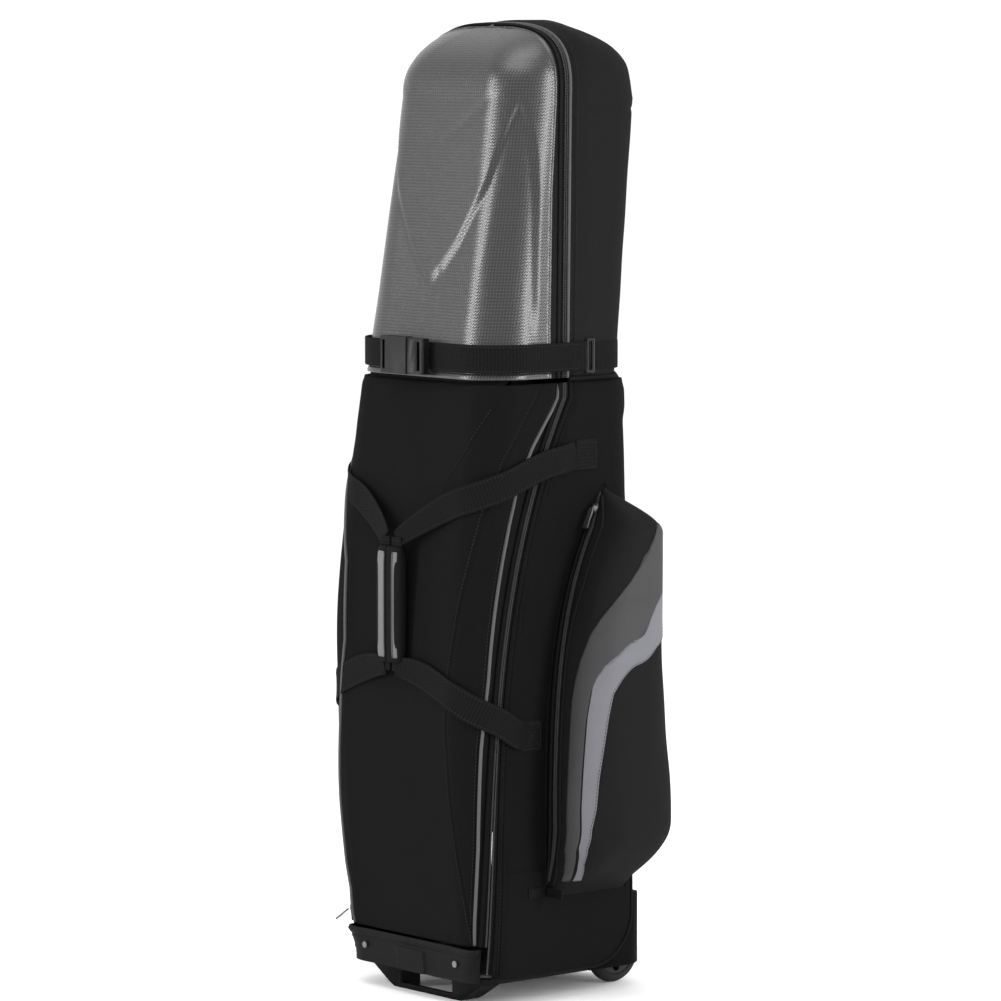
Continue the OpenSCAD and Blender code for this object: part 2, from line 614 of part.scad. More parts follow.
module left_grip() { grip(left); }
module anchor_patches() {
  color([0.13, 0.13, 0.13]) for (side = [right, left]) for (a = [anchor_up, anchor_low])
    translate([side > 0 ? half_w + 0.1 : -half_w - 1.7, a[0] + 7, a[1] - 19]) cube([1.6, 34, 38]);
}

// ---- Main zip slider, low on the left ----
main_z = 100;
main_high_z = 220;
main_low = let (p = body_pt(zip_s(main_z), main_z, 3.4)) [-p[0], p[1], p[2]];
main_high = let (p = body_pt(zip_s(main_high_z), main_high_z, 3.4)) [-p[0], p[1], p[2]];
main_run = unit(main_high - main_low);
main_side = let (a = body_pt(zip_s(main_z) + 2, main_z, 0), b = body_pt(zip_s(main_z) - 2, main_z, 0))
  unit([-a[0] + b[0], a[1] - b[1], 0]);
main_out = unit(cross(main_run, main_side));
module main_slider() {
  color([0.35, 0.35, 0.35]) slider_at(main_low, main_run, main_out);
}
module main_pull() {
  color([0.5, 0.5, 0.5]) pull_at(main_low + main_out * 5.6 - main_run * 2, unit(main_out - main_run * 0.8), unit(main_run + main_out * 0.8), 22);
}

// ---- Tow handle on the back of the hard top ----
module tow_handle() {
  z0 = 1060;
  tall = 130;
  lean = atan((top_rear(shoulder_z) - top_rear(z0)) / (shoulder_z - z0));
  function bow(t, d) = [-2 + (33 + d) * pow(sin(180 * t), 0.5), lerp(-d * 1.2, tall + d * 1.2, t)];
  ts = [for (q = [0:15:180]) (1 - cos(q)) / 2];
  color([0.1, 0.1, 0.1]) translate([0, top_rear(z0) + 2.4, z0]) rotate([-lean, 0, 0]) rotate([90, 0, 90])
    translate([0, 0, -17]) linear_extrude(34)
      polygon(concat([for (t = ts) bow(t, 0)], [for (i = [len(ts) - 1:-1:0]) bow(ts[i], -5)]));
}

// ---- Inner pad of the hard top ----
pad_rows = [for (z = top_rows) if (z < case_h - 10) max(z, top_z0 + 14)];
module top_pad() {
  color([0.25, 0.25, 0.27])
  skin([for (z = pad_rows) at(mirrored_back(top_rear_row(z, -wall - 0.5)), sunk(z, -wall - 2))],
       [for (z = pad_rows) at(mirrored_back(top_rear_row(z, -wall - 8)), sunk(z, -wall - 12))]);
}

front_shell();
shell_piping();
shell_zip();
rear_dome();
dome_piping();
dome_zip();
front_panel();
panel_piping();
panel_zip();
body_zip();
right_gusset();
left_gusset();
back_panel();
base_tray();
base_bumper();
bumper_screws();
base_board();
back_stiffener();
top_pad();
inner_straps();
foot_stand();
waist_band();
right_wheel_housing();
right_tyre();
right_hub();
right_bearings();
right_axle();
left_wheel_housing();
left_tyre();
left_hub();
left_bearings();
left_axle();
right_pocket();
right_pocket_zip();
right_pocket_slider();
right_pocket_pull();
right_dark_swoosh();
right_pale_swoosh();
left_pocket();
left_pocket_zip();
left_pocket_slider();
left_pocket_pull();
left_dark_swoosh();
left_pale_swoosh();
rear_strap();
front_strap_right();
front_strap_left();
strap_hooks();
buckle_socket();
buckle_plug();
buckle_upper_arm();
buckle_lower_arm();
right_haul_loop();
right_grip();
left_haul_loop();
left_grip();
anchor_patches();
main_slider();
main_pull();
tow_handle();
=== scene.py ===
# %% [markdown]
# # A golf travel case, dressed in Blender
# The case stands upright: a hard glossy top, a soft wheeled body, a pocket on each side, webbing loops
# that meet in a padded grip, and a strap with a buckle round the waist.
# The CAD model fixes every size and every joint. Here each piece gets its true surface: weave, seams,
# stitches, zips, padding and wear. All lengths below are in millimetres until a mesh is made.

# %% Load the frame and measure it
import math
import bmesh
import bpy
import numpy as np
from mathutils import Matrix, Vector


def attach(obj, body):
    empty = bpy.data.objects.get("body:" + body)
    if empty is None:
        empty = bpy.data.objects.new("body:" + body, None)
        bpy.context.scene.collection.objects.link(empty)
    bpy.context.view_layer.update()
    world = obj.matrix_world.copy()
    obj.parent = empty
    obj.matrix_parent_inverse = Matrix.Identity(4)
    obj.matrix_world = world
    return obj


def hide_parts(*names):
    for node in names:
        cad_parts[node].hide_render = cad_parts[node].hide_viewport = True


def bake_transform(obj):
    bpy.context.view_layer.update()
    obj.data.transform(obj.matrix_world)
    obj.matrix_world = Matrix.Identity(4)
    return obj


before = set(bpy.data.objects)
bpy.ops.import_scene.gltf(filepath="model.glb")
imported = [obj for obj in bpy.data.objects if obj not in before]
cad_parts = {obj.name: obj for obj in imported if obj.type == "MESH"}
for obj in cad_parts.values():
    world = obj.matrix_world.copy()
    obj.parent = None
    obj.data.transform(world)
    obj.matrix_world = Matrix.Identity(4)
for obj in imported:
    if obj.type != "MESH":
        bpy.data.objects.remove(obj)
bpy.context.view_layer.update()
scene = bpy.context.scene
MM = 0.001
RIGHT = 1
LEFT = -1
SIDES = ((RIGHT, "right"), (LEFT, "left"))

# %% [markdown]
# ## Camera
# The case is looked at from about 50 degrees round from its front, from the height of its own top, with
# a long lens. A long lens keeps upright edges nearly parallel, as a product picture does.

# %% Camera
CAMERA_AZIMUTH = 50
CAMERA_DISTANCE = 7.0
CAMERA_HEIGHT = 1.325
AIM = Vector((0.003, 0.0156, 0.661))
cam_data = bpy.data.cameras.new("studio_camera")
cam_data.lens = 186.8
cam_data.clip_end = 200
camera = bpy.data.objects.new("studio_camera", cam_data)
scene.collection.objects.link(camera)
turn = math.radians(CAMERA_AZIMUTH)
camera.location = (CAMERA_DISTANCE * math.sin(turn), 0.012 - CAMERA_DISTANCE * math.cos(turn), CAMERA_HEIGHT)
camera.rotation_euler = (AIM - camera.location).to_track_quat("-Z", "Y").to_euler()
scene.camera = camera
scene.view_settings.view_transform = "Standard"
print("camera at", [round(v, 3) for v in camera.location])

# %% [markdown]
# ## Floor and light
# Black fabric on white needs care: a white world gives the clean background, and two tall softboxes
# draw the long streaks that make the hard top look glossy. The area lights stand left of the front and
# off the right side, so that each rounded edge of the top catches one of them.

# %% Floor and lights
def disc_floor(name, radius, rings, sides):
    verts = [(0, 0, 0)]
    for r in range(1, rings + 1):
        reach = radius * (r / rings) ** 2
        verts += [(reach * math.cos(k * math.tau / sides), reach * math.sin(k * math.tau / sides), 0)
                  for k in range(sides)]
    faces = [(0, 1 + k, 1 + (k + 1) % sides) for k in range(sides)]
    for r in range(rings - 1):
        a, b = 1 + r * sides, 1 + (r + 1) * sides
        faces += [(a + k, b + k, b + (k + 1) % sides, a + (k + 1) % sides) for k in range(sides)]
    mesh = bpy.data.meshes.new(name)
    mesh.from_pydata(verts, [], faces)
    obj = bpy.data.objects.new(name, mesh)
    scene.collection.objects.link(obj)
    return obj


def area_light(name, azimuth, distance, height, size, power, target):
    data = bpy.data.lights.new(name, "AREA")
    data.shape = "RECTANGLE"
    data.size, data.size_y = size
    data.energy = power
    obj = bpy.data.objects.new(name, data)
    scene.collection.objects.link(obj)
    a = math.radians(azimuth)
    obj.location = (distance * math.sin(a), -distance * math.cos(a), height)
    obj.rotation_euler = (Vector(target) - obj.location).to_track_quat("-Z", "Y").to_euler()
    return obj


floor = disc_floor("studio_floor", 90.0, 12, 96)
area_light("left_strip", -24, 3.2, 1.35, (0.55, 2.6), 95, (0, 0, 0.9))
area_light("right_strip", 112, 2.8, 1.25, (0.6, 2.6), 85, (0, 0, 0.9))
area_light("top_softbox", 20, 1.0, 4.2, (2.6, 2.6), 70, (0, 0, 0.5))
world = bpy.data.worlds.new("white_studio")
scene.world = world
world.use_nodes = True
world.node_tree.nodes["Background"].inputs["Color"].default_value = (1, 1, 1, 1)
world.node_tree.nodes["Background"].inputs["Strength"].default_value = 1.1

# %% [markdown]
# ## Building materials from nodes
# Every finish below is made of Blender's procedural textures. `add` makes one shader node and plugs in
# its sockets, so that a whole finish reads as a short list. A plain weave is a chessboard whose dark
# squares show one thread direction and whose pale squares show the other: two sets of waves, chosen
# between by a checker texture.

# %% Node helpers
def add(tree, kind, sockets=None, **settings):
    made = tree.nodes.new("ShaderNode" + kind)
    for key, value in settings.items():
        setattr(made, key, value)
    for key, value in (sockets or {}).items():
        if isinstance(value, bpy.types.NodeSocket):
            tree.links.new(value, made.inputs[key])
        else:
            made.inputs[key].default_value = value
    return made


def start_material(name, coordinates="UV"):
    mat = bpy.data.materials.new(name)
    mat.use_nodes = True
    tree = mat.node_tree
    where = add(tree, "TexCoord").outputs[coordinates]
    return mat, tree, tree.nodes["Principled BSDF"], where


def math_node(tree, operation, a, b):
    return add(tree, "Math", {0: a, 1: b}, operation=operation).outputs[0]


def mix_values(tree, factor, a, b):
    return add(tree, "Mix", {0: factor, 2: a, 3: b}, data_type="FLOAT").outputs[0]


def mix_colours(tree, factor, a, b):
    return add(tree, "Mix", {0: factor, 6: (*a, 1), 7: (*b, 1)}, data_type="RGBA").outputs[2]


def tint_colour(tree, factor, start, b):
    return add(tree, "Mix", {0: factor, 6: start, 7: (*b, 1)}, data_type="RGBA").outputs[2]


def waves(tree, vector, axis, pitch):
    # one band every pitch metres: Blender's wave texture has 20 radians per unit of scale
    return add(tree, "TexWave", {"Vector": vector, "Scale": math.tau / 20 / pitch},
               wave_type="BANDS", bands_direction=axis).outputs["Fac"]


def weave(tree, vector, pitch, twist=0.0, stretch=1.0):
    turned = add(tree, "Mapping", {"Vector": vector, "Rotation": (0, 0, twist), "Scale": (1, stretch, 1)})
    warp = waves(tree, turned.outputs[0], "X", pitch)
    weft = waves(tree, turned.outputs[0], "Y", pitch)
    square = add(tree, "TexChecker", {"Vector": turned.outputs[0], "Scale": 1 / pitch}).outputs["Fac"]
    return mix_values(tree, square, warp, weft)


def noise(tree, vector, scale, detail=4.0, roughness=0.6):
    return add(tree, "TexNoise", {"Vector": vector, "Scale": scale, "Detail": detail,
                                  "Roughness": roughness}).outputs["Fac"]


def span(tree, value, low, high, out_low, out_high):
    return add(tree, "MapRange", {"Value": value, "From Min": low, "From Max": high, "To Min": out_low,
                                  "To Max": out_high}).outputs["Result"]


def finish_material(tree, shader, colour, roughness, height, strength, depth, constants):
    tree.links.new(colour, shader.inputs["Base Color"])
    tree.links.new(roughness, shader.inputs["Roughness"])
    bump = add(tree, "Bump", {"Height": height, "Strength": strength, "Distance": depth})
    tree.links.new(bump.outputs["Normal"], shader.inputs["Normal"])
    for key, value in constants.items():
        shader.inputs[key].default_value = value


# %% [markdown]
# ## Fabric finishes
# The body is coated woven polyester. Its colour drifts a little with dust and wear, single threads are
# lighter or darker, and the weave shows as a fine relief. The specular level is kept low because the
# white studio would otherwise turn black cloth grey.

# %% Fabric finishes
def fabric(name, dark, light, pitch, twist=0.0, strength=0.5, specular=0.06, sheen=0.0, stretch=1.0,
           coordinates="UV", rough=(0.72, 0.95)):
    mat, tree, shader, where = start_material(name, coordinates)
    thread = weave(tree, where, pitch, twist, stretch)
    cloud = noise(tree, where, 7.0, 6.0)
    fleck = noise(tree, where, 700.0, 2.0)
    shade = math_node(tree, "MULTIPLY", thread, span(tree, cloud, 0.3, 0.7, 0.55, 1.0))
    colour = mix_colours(tree, shade, dark, light)
    pale = [1.8 * c + 0.01 for c in light]
    colour = tint_colour(tree, span(tree, fleck, 0.62, 0.8, 0.0, 0.35), colour, pale)
    height = math_node(tree, "ADD", thread, span(tree, fleck, 0.3, 0.7, 0.0, 0.4))
    finish_material(tree, shader, colour, span(tree, cloud, 0.3, 0.7, *rough), height, strength, 0.0006,
                    {"Specular IOR Level": specular, "Sheen Weight": sheen, "Sheen Roughness": 0.5})
    return mat


body_cloth = fabric("body_cloth", (0.0022, 0.0022, 0.0024), (0.0074, 0.0074, 0.0078), 0.0013, specular=0.04)
dome_cloth = fabric("dome_cloth", (0.0042, 0.0042, 0.0044), (0.0130, 0.0130, 0.0135), 0.0013)
pocket_cloth = fabric("pocket_cloth", (0.0040, 0.0040, 0.0042), (0.0125, 0.0125, 0.0130), 0.0013)
webbing = fabric("webbing", (0.0022, 0.0022, 0.0023), (0.0085, 0.0085, 0.0088), 0.0024, stretch=0.5,
                 strength=0.8)
grip_cloth = fabric("grip_cloth", (0.0030, 0.0030, 0.0032), (0.0100, 0.0100, 0.0104), 0.0011, strength=0.6)
lining = fabric("lining", (0.016, 0.016, 0.018), (0.040, 0.040, 0.044), 0.0016, strength=0.4)
grey_cord = fabric("grey_cord", (0.040, 0.040, 0.042), (0.110, 0.110, 0.114), 0.0012, twist=0.7,
                   strength=0.5, specular=0.2)
dark_band = fabric("dark_band", (0.022, 0.022, 0.023), (0.050, 0.050, 0.052), 0.0012, strength=0.3,
                   specular=0.15, rough=(0.5, 0.7))
pale_band = fabric("pale_band", (0.080, 0.080, 0.090), (0.165, 0.165, 0.182), 0.0012, strength=0.3,
                   specular=0.15, rough=(0.5, 0.7))
thread_grey = fabric("thread_grey", (0.012, 0.012, 0.013), (0.036, 0.036, 0.038), 0.0005, strength=0.3)
# painted highlight: a pale grey cloth laid on the grip faces where the padded wrap catches the light
painted_grip_highlight = fabric("painted_grip_highlight", (0.075, 0.075, 0.078), (0.185, 0.185, 0.190), 0.0010, strength=0.4)
zip_tape = fabric("zip_tape", (0.0024, 0.0024, 0.0026), (0.0085, 0.0085, 0.0088), 0.0010, strength=0.5)
print("fabric finishes:", len(bpy.data.materials))

# %% [markdown]
# ## The woven look of the hard top
# The hard top is thermoformed sheet with a carbon weave under a clear layer. A coarse weave turned by
# 45 degrees gives the rows of small lozenges, alternate threads lean two ways and so reflect
# differently, and a clear coat on top gives the streaks of light.

# %% Shell finish
def carbon(name):
    mat, tree, shader, where = start_material(name)
    thread = weave(tree, where, 0.0030, math.radians(45))
    turned = add(tree, "Mapping", {"Vector": where, "Rotation": (0, 0, math.radians(45))})
    lozenge = add(tree, "TexChecker", {"Vector": turned.outputs[0], "Scale": 1 / 0.0030}).outputs["Fac"]
    cloud = noise(tree, where, 5.0, 5.0)
    scuff = noise(tree, where, 90.0, 8.0, 0.75)
    shade = math_node(tree, "MULTIPLY", span(tree, lozenge, 0, 1, 0.30, 1.0),
                      span(tree, thread, 0, 1, 0.55, 1.0))
    colour = mix_colours(tree, shade, (0.003, 0.003, 0.0034), (0.028, 0.028, 0.0295))
    colour = tint_colour(tree, span(tree, cloud, 0.35, 0.75, 0.0, 0.22), colour, (0.036, 0.036, 0.038))
    worn = span(tree, scuff, 0.45, 0.75, 0.22, 0.32)
    rough = math_node(tree, "ADD", worn, span(tree, lozenge, 0, 1, 0.0, 0.10))
    finish_material(tree, shader, colour, rough, thread, 0.25, 0.0005,
                    {"Metallic": 0.0, "Specular IOR Level": 0.5, "Coat Weight": 0.06,
                     "Coat Roughness": 0.12})
    return mat


carbon_shell = carbon("carbon_shell")
print("made", carbon_shell.name)

# %% [markdown]
# ## Plastic, rubber, metal, foam and board
# Moulded plastic has a fine pebble grain and slightly polished, scratched patches. Metal is brushed. A
# CAD piece has no unwrapped surface, so these finishes read the piece's own position in space instead.

# %% Solid finishes
def moulded(name, dark, light, grain, rough, strength=0.25, metallic=0.0, specular=0.35, coat=0.0):
    mat, tree, shader, where = start_material(name, "Object")
    pebble = add(tree, "TexVoronoi", {"Vector": where, "Scale": 1 / grain}).outputs["Distance"]
    cloud = noise(tree, where, 16.0, 6.0)
    stretched = add(tree, "Mapping", {"Vector": where, "Scale": (40, 400, 40)}).outputs[0]
    scratch = noise(tree, stretched, 6.0, 6.0)
    colour = mix_colours(tree, span(tree, cloud, 0.3, 0.7, 0.0, 1.0), dark, light)
    pale = [2.2 * c + 0.01 for c in light]
    colour = tint_colour(tree, span(tree, scratch, 0.66, 0.8, 0.0, 0.3), colour, pale)
    height = math_node(tree, "ADD", pebble, span(tree, scratch, 0.3, 0.7, 0.0, 0.3))
    finish_material(tree, shader, colour, span(tree, cloud, 0.25, 0.75, *rough), height, strength, 0.0003,
                    {"Metallic": metallic, "Specular IOR Level": specular, "Coat Weight": coat})
    return mat


black_plastic = moulded("black_plastic", (0.0018, 0.0018, 0.0019), (0.0042, 0.0042, 0.0044),
                        0.0007, (0.5, 0.7), specular=0.08)
guard_plastic = moulded("guard_plastic", (0.0010, 0.0010, 0.0011), (0.0026, 0.0026, 0.0028),
                        0.0009, (0.5, 0.7), specular=0.03)
buckle_plastic = moulded("buckle_plastic", (0.0030, 0.0030, 0.0031), (0.0065, 0.0065, 0.0067),
                         0.0005, (0.3, 0.45), specular=0.18)
hub_plastic = moulded("hub_plastic", (0.010, 0.010, 0.0105), (0.020, 0.020, 0.021), 0.0008, (0.4, 0.55),
                      specular=0.15)
tyre_rubber = moulded("tyre_rubber", (0.008, 0.008, 0.008), (0.016, 0.016, 0.0155), 0.0010, (0.7, 0.9), 0.4,
                      specular=0.2)
steel = moulded("steel", (0.42, 0.42, 0.43), (0.62, 0.62, 0.63), 0.0004, (0.22, 0.4), 0.1, 1.0, 0.5)
dark_metal = moulded("dark_metal", (0.10, 0.10, 0.105), (0.19, 0.19, 0.20), 0.0004, (0.3, 0.45), 0.15, 0.9)
board = moulded("board", (0.055, 0.050, 0.044), (0.085, 0.078, 0.068), 0.0016, (0.75, 0.9), 0.3)
floor_paint = moulded("floor_paint", (0.93, 0.93, 0.93), (0.95, 0.95, 0.95), 0.02, (0.85, 0.95), 0.02)
floor.data.materials.append(floor_paint)


def coil_finish(name):
    mat, tree, shader, where = start_material(name)
    teeth = waves(tree, where, "Y", 0.0021)
    cloud = noise(tree, where, 60.0, 4.0)
    colour = mix_colours(tree, teeth, (0.0035, 0.0035, 0.0036), (0.030, 0.030, 0.031))
    finish_material(tree, shader, colour, span(tree, cloud, 0.3, 0.7, 0.3, 0.5), teeth, 0.9, 0.0012,
                    {"Specular IOR Level": 0.4})
    return mat


zip_coil = coil_finish("zip_coil")
print("finishes:", len(bpy.data.materials))

# %% [markdown]
# ## Mesh helpers
# A panel is a grid of points. `skin` gives the grid a thickness and closes its rims, and stores how far
# each point lies along and across the sheet, in metres, so that the weave has its real size everywhere.
# `sweep` pushes a small outline along a path: webbing, piping, zip coils and hems are all sweeps.

# %% Mesh helpers
def place(obj, material, body, nodes=()):
    obj.data.materials.append(material)
    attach(obj, body)
    if nodes:
        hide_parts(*nodes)
    return obj


def mesh_object(name, points, faces, uv=None):
    mesh = bpy.data.meshes.new(name)
    mesh.from_pydata((np.asarray(points) * MM).tolist(), [], faces)
    mesh.polygons.foreach_set("use_smooth", [True] * len(mesh.polygons))
    if uv is not None:
        corner = np.zeros(len(mesh.loops), int)
        mesh.loops.foreach_get("vertex_index", corner)
        layer = mesh.uv_layers.new(name="metres")
        layer.data.foreach_set("uv", (np.asarray(uv)[corner] * MM).astype(np.float32).ravel())
    mesh.update()
    obj = bpy.data.objects.new(name, mesh)
    scene.collection.objects.link(obj)
    return obj


def run_length(points, axis):
    step = np.linalg.norm(np.diff(points, axis=axis), axis=2)
    total = np.cumsum(step, axis=axis)
    pad = [(1, 0), (0, 0)] if axis == 0 else [(0, 0), (1, 0)]
    return np.pad(total, pad)


def grid_normals(points):
    n = np.cross(np.gradient(points, axis=1), np.gradient(points, axis=0))
    return n / (np.linalg.norm(n, axis=2, keepdims=True) + 1e-9)


def grid_faces(m, n, first=0, flip=False):
    faces = []
    for i in range(m - 1):
        for j in range(n - 1):
            a = first + i * n + j
            quad = (a, a + 1, a + n + 1, a + n)
            faces.append(quad[::-1] if flip else quad)
    return faces


def skin(name, rows, thick):
    outer = np.array(rows, float)
    m, n, _ = outer.shape
    inner = outer - grid_normals(outer) * thick
    k = m * n
    faces = grid_faces(m, n) + grid_faces(m, n, k, True)
    for j in range(n - 1):
        a, b = j, (m - 1) * n + j
        faces += [(a + 1, a, a + k, a + k + 1), (b, b + 1, b + k + 1, b + k)]
    for i in range(m - 1):
        a, b = i * n, i * n + n - 1
        faces += [(a, a + n, a + n + k, a + k), (b + n, b, b + k, b + n + k)]
    u = run_length(outer, 1)
    u -= u[:, [n // 2]]
    v = run_length(outer, 0)[:, [n // 2]] + np.zeros((1, n))
    uv = np.stack([u, v], 2).reshape(-1, 2)
    return mesh_object(name, np.concatenate([outer.reshape(-1, 3), inner.reshape(-1, 3)]), faces,
                       np.concatenate([uv, uv]))


def mirrored(rows):
    return [[(-p[0], p[1], p[2]) for p in row[::-1]] for row in rows]


def sided(rows, side):
    return rows if side == RIGHT else mirrored(rows)


def unit(v):
    v = np.asarray(v, float)
    return v / (np.linalg.norm(v, axis=-1, keepdims=True) + 1e-9)


def curve_through(points, count):
    # a smooth line through the points, evenly spaced
    p = np.array(points, float)
    p = np.vstack([2 * p[0] - p[1], p, 2 * p[-1] - p[-2]])
    line = []
    for i in range(1, len(p) - 2):
        for t in np.linspace(0, 1, 24, endpoint=False):
            a, b, c, d = p[i - 1], p[i], p[i + 1], p[i + 2]
            line.append(0.5 * (2 * b + (c - a) * t + (2 * a - 5 * b + 4 * c - d) * t * t
                               + (3 * b - a - 3 * c + d) * t ** 3))
    line = np.vstack([line, p[-2]])
    far = np.concatenate([[0], np.cumsum(np.linalg.norm(np.diff(line, axis=0), axis=1))])
    at = np.linspace(0, far[-1], count)
    return np.stack([np.interp(at, far, line[:, k]) for k in range(line.shape[1])], 1)


def sweep(name, path, outward, section, scale=None, closed=False):
    # section: (across, out) pairs; outward: the way out at each station
    path = np.asarray(path, float)
    k, q = len(path), len(section)
    along = np.roll(path, -1, 0) - np.roll(path, 1, 0) if closed else np.gradient(path, axis=0)
    along = unit(along)
    out = np.asarray(outward, float) + np.zeros((k, 3))
    out = unit(out - along * np.sum(along * out, axis=1, keepdims=True))
    across = np.cross(along, out)
    sec = np.array(section, float)
    scale = np.ones((k, 2)) if scale is None else np.asarray(scale, float) * np.ones((k, 2))
    points = (path[:, None] + across[:, None] * sec[None, :, :1] * scale[:, None, :1]
              + out[:, None] * sec[None, :, 1:] * scale[:, None, 1:])
    faces = []
    for i in range(k if closed else k - 1):
        for j in range(q):
            a, b = i * q + j, i * q + (j + 1) % q
            c, d = (i + 1) % k * q + j, (i + 1) % k * q + (j + 1) % q
            faces.append((a, b, d, c))
    if not closed:
        faces += [tuple(range(q))[::-1], tuple(range((k - 1) * q, k * q))]
    v = np.concatenate([[0], np.cumsum(np.linalg.norm(np.diff(path, axis=0), axis=1))])
    uv = np.stack([np.tile(sec[:, 0], k), np.repeat(v, q)], 1)
    return mesh_object(name, points.reshape(-1, 3), faces, uv)


def oval(half_wide, half_tall, sides=10, squareness=1.0):
    ring = []
    for j in range(sides):
        c, s = math.cos(-j * math.tau / sides), math.sin(-j * math.tau / sides)
        ring.append((half_wide * math.copysign(abs(c) ** squareness, c),
                     half_tall * math.copysign(abs(s) ** squareness, s)))
    return ring


def ribbon_section(width, thick):
    return oval(width / 2, thick / 2, 20, 0.3)


def stitches(name, path, outward, pitch=5.0, length=3.4, radius=0.45):
    # a row of thread dashes that lies on the path
    path = np.asarray(path, float)
    out = unit(np.asarray(outward, float) + np.zeros_like(path))
    far = np.concatenate([[0], np.cumsum(np.linalg.norm(np.diff(path, axis=0), axis=1))])
    points, faces = [], []
    for start in np.arange(pitch / 2, far[-1] - length, pitch):
        ends = [np.array([np.interp(start + d, far, path[:, k]) for k in range(3)])
                for d in (0, length * 0.25, length * 0.75, length)]
        o = unit(np.array([np.interp(start, far, out[:, k]) for k in range(3)]))
        side = np.cross(unit(ends[3] - ends[0]), o)
        first = len(points)
        points.append(ends[0] - o * radius * 0.5)
        for e in ends[1:3]:
            points += [e + side * radius, e + o * radius, e - side * radius, e - o * radius]
        points.append(ends[3] - o * radius * 0.5)
        for j in range(4):
            a, b = first + 1 + j, first + 1 + (j + 1) % 4
            faces += [(first, b, a), (a, b, b + 4, a + 4), (first + 9, a + 4, b + 4)]
    return mesh_object(name, points, faces, np.array(points)[:, [0, 2]])


def sewn(name, path, outward, body, pitch=5.0, length=3.4):
    return place(stitches(name, path, outward, pitch, length), thread_grey, body)


def softened(node, bevel, segments=2):
    # a copy of a CAD piece with its flat faces merged and its sharp edges rounded
    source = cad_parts[node]
    made = bmesh.new()
    made.from_mesh(source.data)
    bmesh.ops.remove_doubles(made, verts=made.verts, dist=0.00002)
    bmesh.ops.dissolve_limit(made, angle_limit=math.radians(2), verts=made.verts, edges=made.edges)
    sharp = [e for e in made.edges if len(e.link_faces) == 2 and e.calc_face_angle(0) > math.radians(28)]
    bmesh.ops.bevel(made, geom=sharp, offset=bevel * MM, segments=segments, affect="EDGES",
                    clamp_overlap=True)
    mesh = bpy.data.meshes.new(node + "_soft")
    made.to_mesh(mesh)
    made.free()
    obj = bpy.data.objects.new(node + "_soft", mesh)
    scene.collection.objects.link(obj)
    mesh.polygons.foreach_set("use_smooth", [True] * len(mesh.polygons))
    mesh.set_sharp_from_angle(angle=math.radians(35))
    return obj


print("helpers ready")

# %% [markdown]
# ## The shape of the case as formulas
# The body is a rounded box whose front bows out, and the hard top leans back and arches over. These are
# the same formulas the CAD model uses, so that cloth made here lies exactly on the solid parts.

# %% Shape formulas
HALF_W = 150.0
CASE_H = 1303.0
TOP_Z = 836.0
SHOULDER_Z = 1204.0
BODY_TOP = 830.0
PANEL_FOOT = 84.0
ZIP_HALF = 8.0
BODY_R = 45.0
BASE_FRONT = 136.0
WAIST_FRONT = 119.0
FRONT_BULGE = 33.0
BASE_REAR = 160.0
WAIST_REAR = 125.0
BODY_FOOT = 40.0
ZIP_FRONT_Y = -123.0
ZIP_SWEEP = 124.0
TOP_HALF_W = 140.0
TOP_FRONT_LOW = 126.0
TOP_FRONT_HIGH = 72.0
TOP_REAR_LOW = 112.0
TOP_REAR_HIGH = 149.0
TOP_EDGE_R = 66.0
QUARTER = math.pi / 2


def lerp(a, b, t):
    return a + (b - a) * t


def clamp(t):
    return max(0.0, min(1.0, t))


def ease(t):
    t = np.clip(t, 0, 1)
    return t * t * (3 - 2 * t)


def body_t(z):
    return clamp((z - BODY_FOOT) / (BODY_TOP - BODY_FOOT))


def body_front(z):
    return -lerp(BASE_FRONT, WAIST_FRONT, body_t(z)) - FRONT_BULGE * math.sin(math.pi * body_t(z))


def body_rear(z):
    return lerp(BASE_REAR, WAIST_REAR, body_t(z))


def zip_y(z):
    return ZIP_FRONT_Y + ZIP_SWEEP * clamp((z - 44) / 766) ** 3.2


def outline(s, front, rear):
    c, w = BODY_R, HALF_W
    a1 = w - c
    a2 = a1 + c * math.pi / 2
    a3 = a2 + rear - front - 2 * c
    a4 = a3 + c * math.pi / 2
    if s <= a1:
        return s, front, 0, -1
    if s <= a2:
        q = (s - a1) / c
        return w - c + c * math.sin(q), front + c - c * math.cos(q), math.sin(q), -math.cos(q)
    if s <= a3:
        return w, front + c + s - a2, 1, 0
    if s <= a4:
        q = (s - a3) / c
        return w - c + c * math.cos(q), rear - c + c * math.sin(q), math.cos(q), math.sin(q)
    return w - c - (s - a4), rear, 0, 1


def body_pt(s, z, d=0.0):
    x, y, nx, ny = outline(abs(s), body_front(z), body_rear(z))
    g = -1 if s < 0 else 1
    return g * (x + d * nx), y + d * ny, z


def body_out(s, z):
    _, _, nx, ny = outline(abs(s), body_front(z), body_rear(z))
    return (-nx if s < 0 else nx), ny, 0.0


def body_s(y, z):
    f, r, c = body_front(z), body_rear(z), BODY_R
    side = HALF_W - c + c * math.pi / 2
    if y < f + c:
        return HALF_W - c + c * math.acos(min(1, (f + c - y) / c))
    if y < r - c:
        return side + y - f - c
    return side + r - f - 2 * c + c * math.asin(min(1, (y - r + c) / c))


def back_s(z):
    return HALF_W - BODY_R + BODY_R * math.pi + body_rear(z) - body_front(z) - 2 * BODY_R


def zip_s(z):
    return body_s(zip_y(z), z)


def top_t(z):
    return clamp((z - SHOULDER_Z) / (CASE_H - SHOULDER_Z))


def arch(z):
    return max(0.0, 1 - top_t(z) ** 3) ** (1 / 3)


def low_t(z):
    return clamp((z - TOP_Z) / (SHOULDER_Z - TOP_Z))


def top_w(z):
    return max(0.1, lerp(HALF_W, TOP_HALF_W, low_t(z)) * arch(z))


def rim_y(z):
    return 1 + 0.035 * (z - TOP_Z)


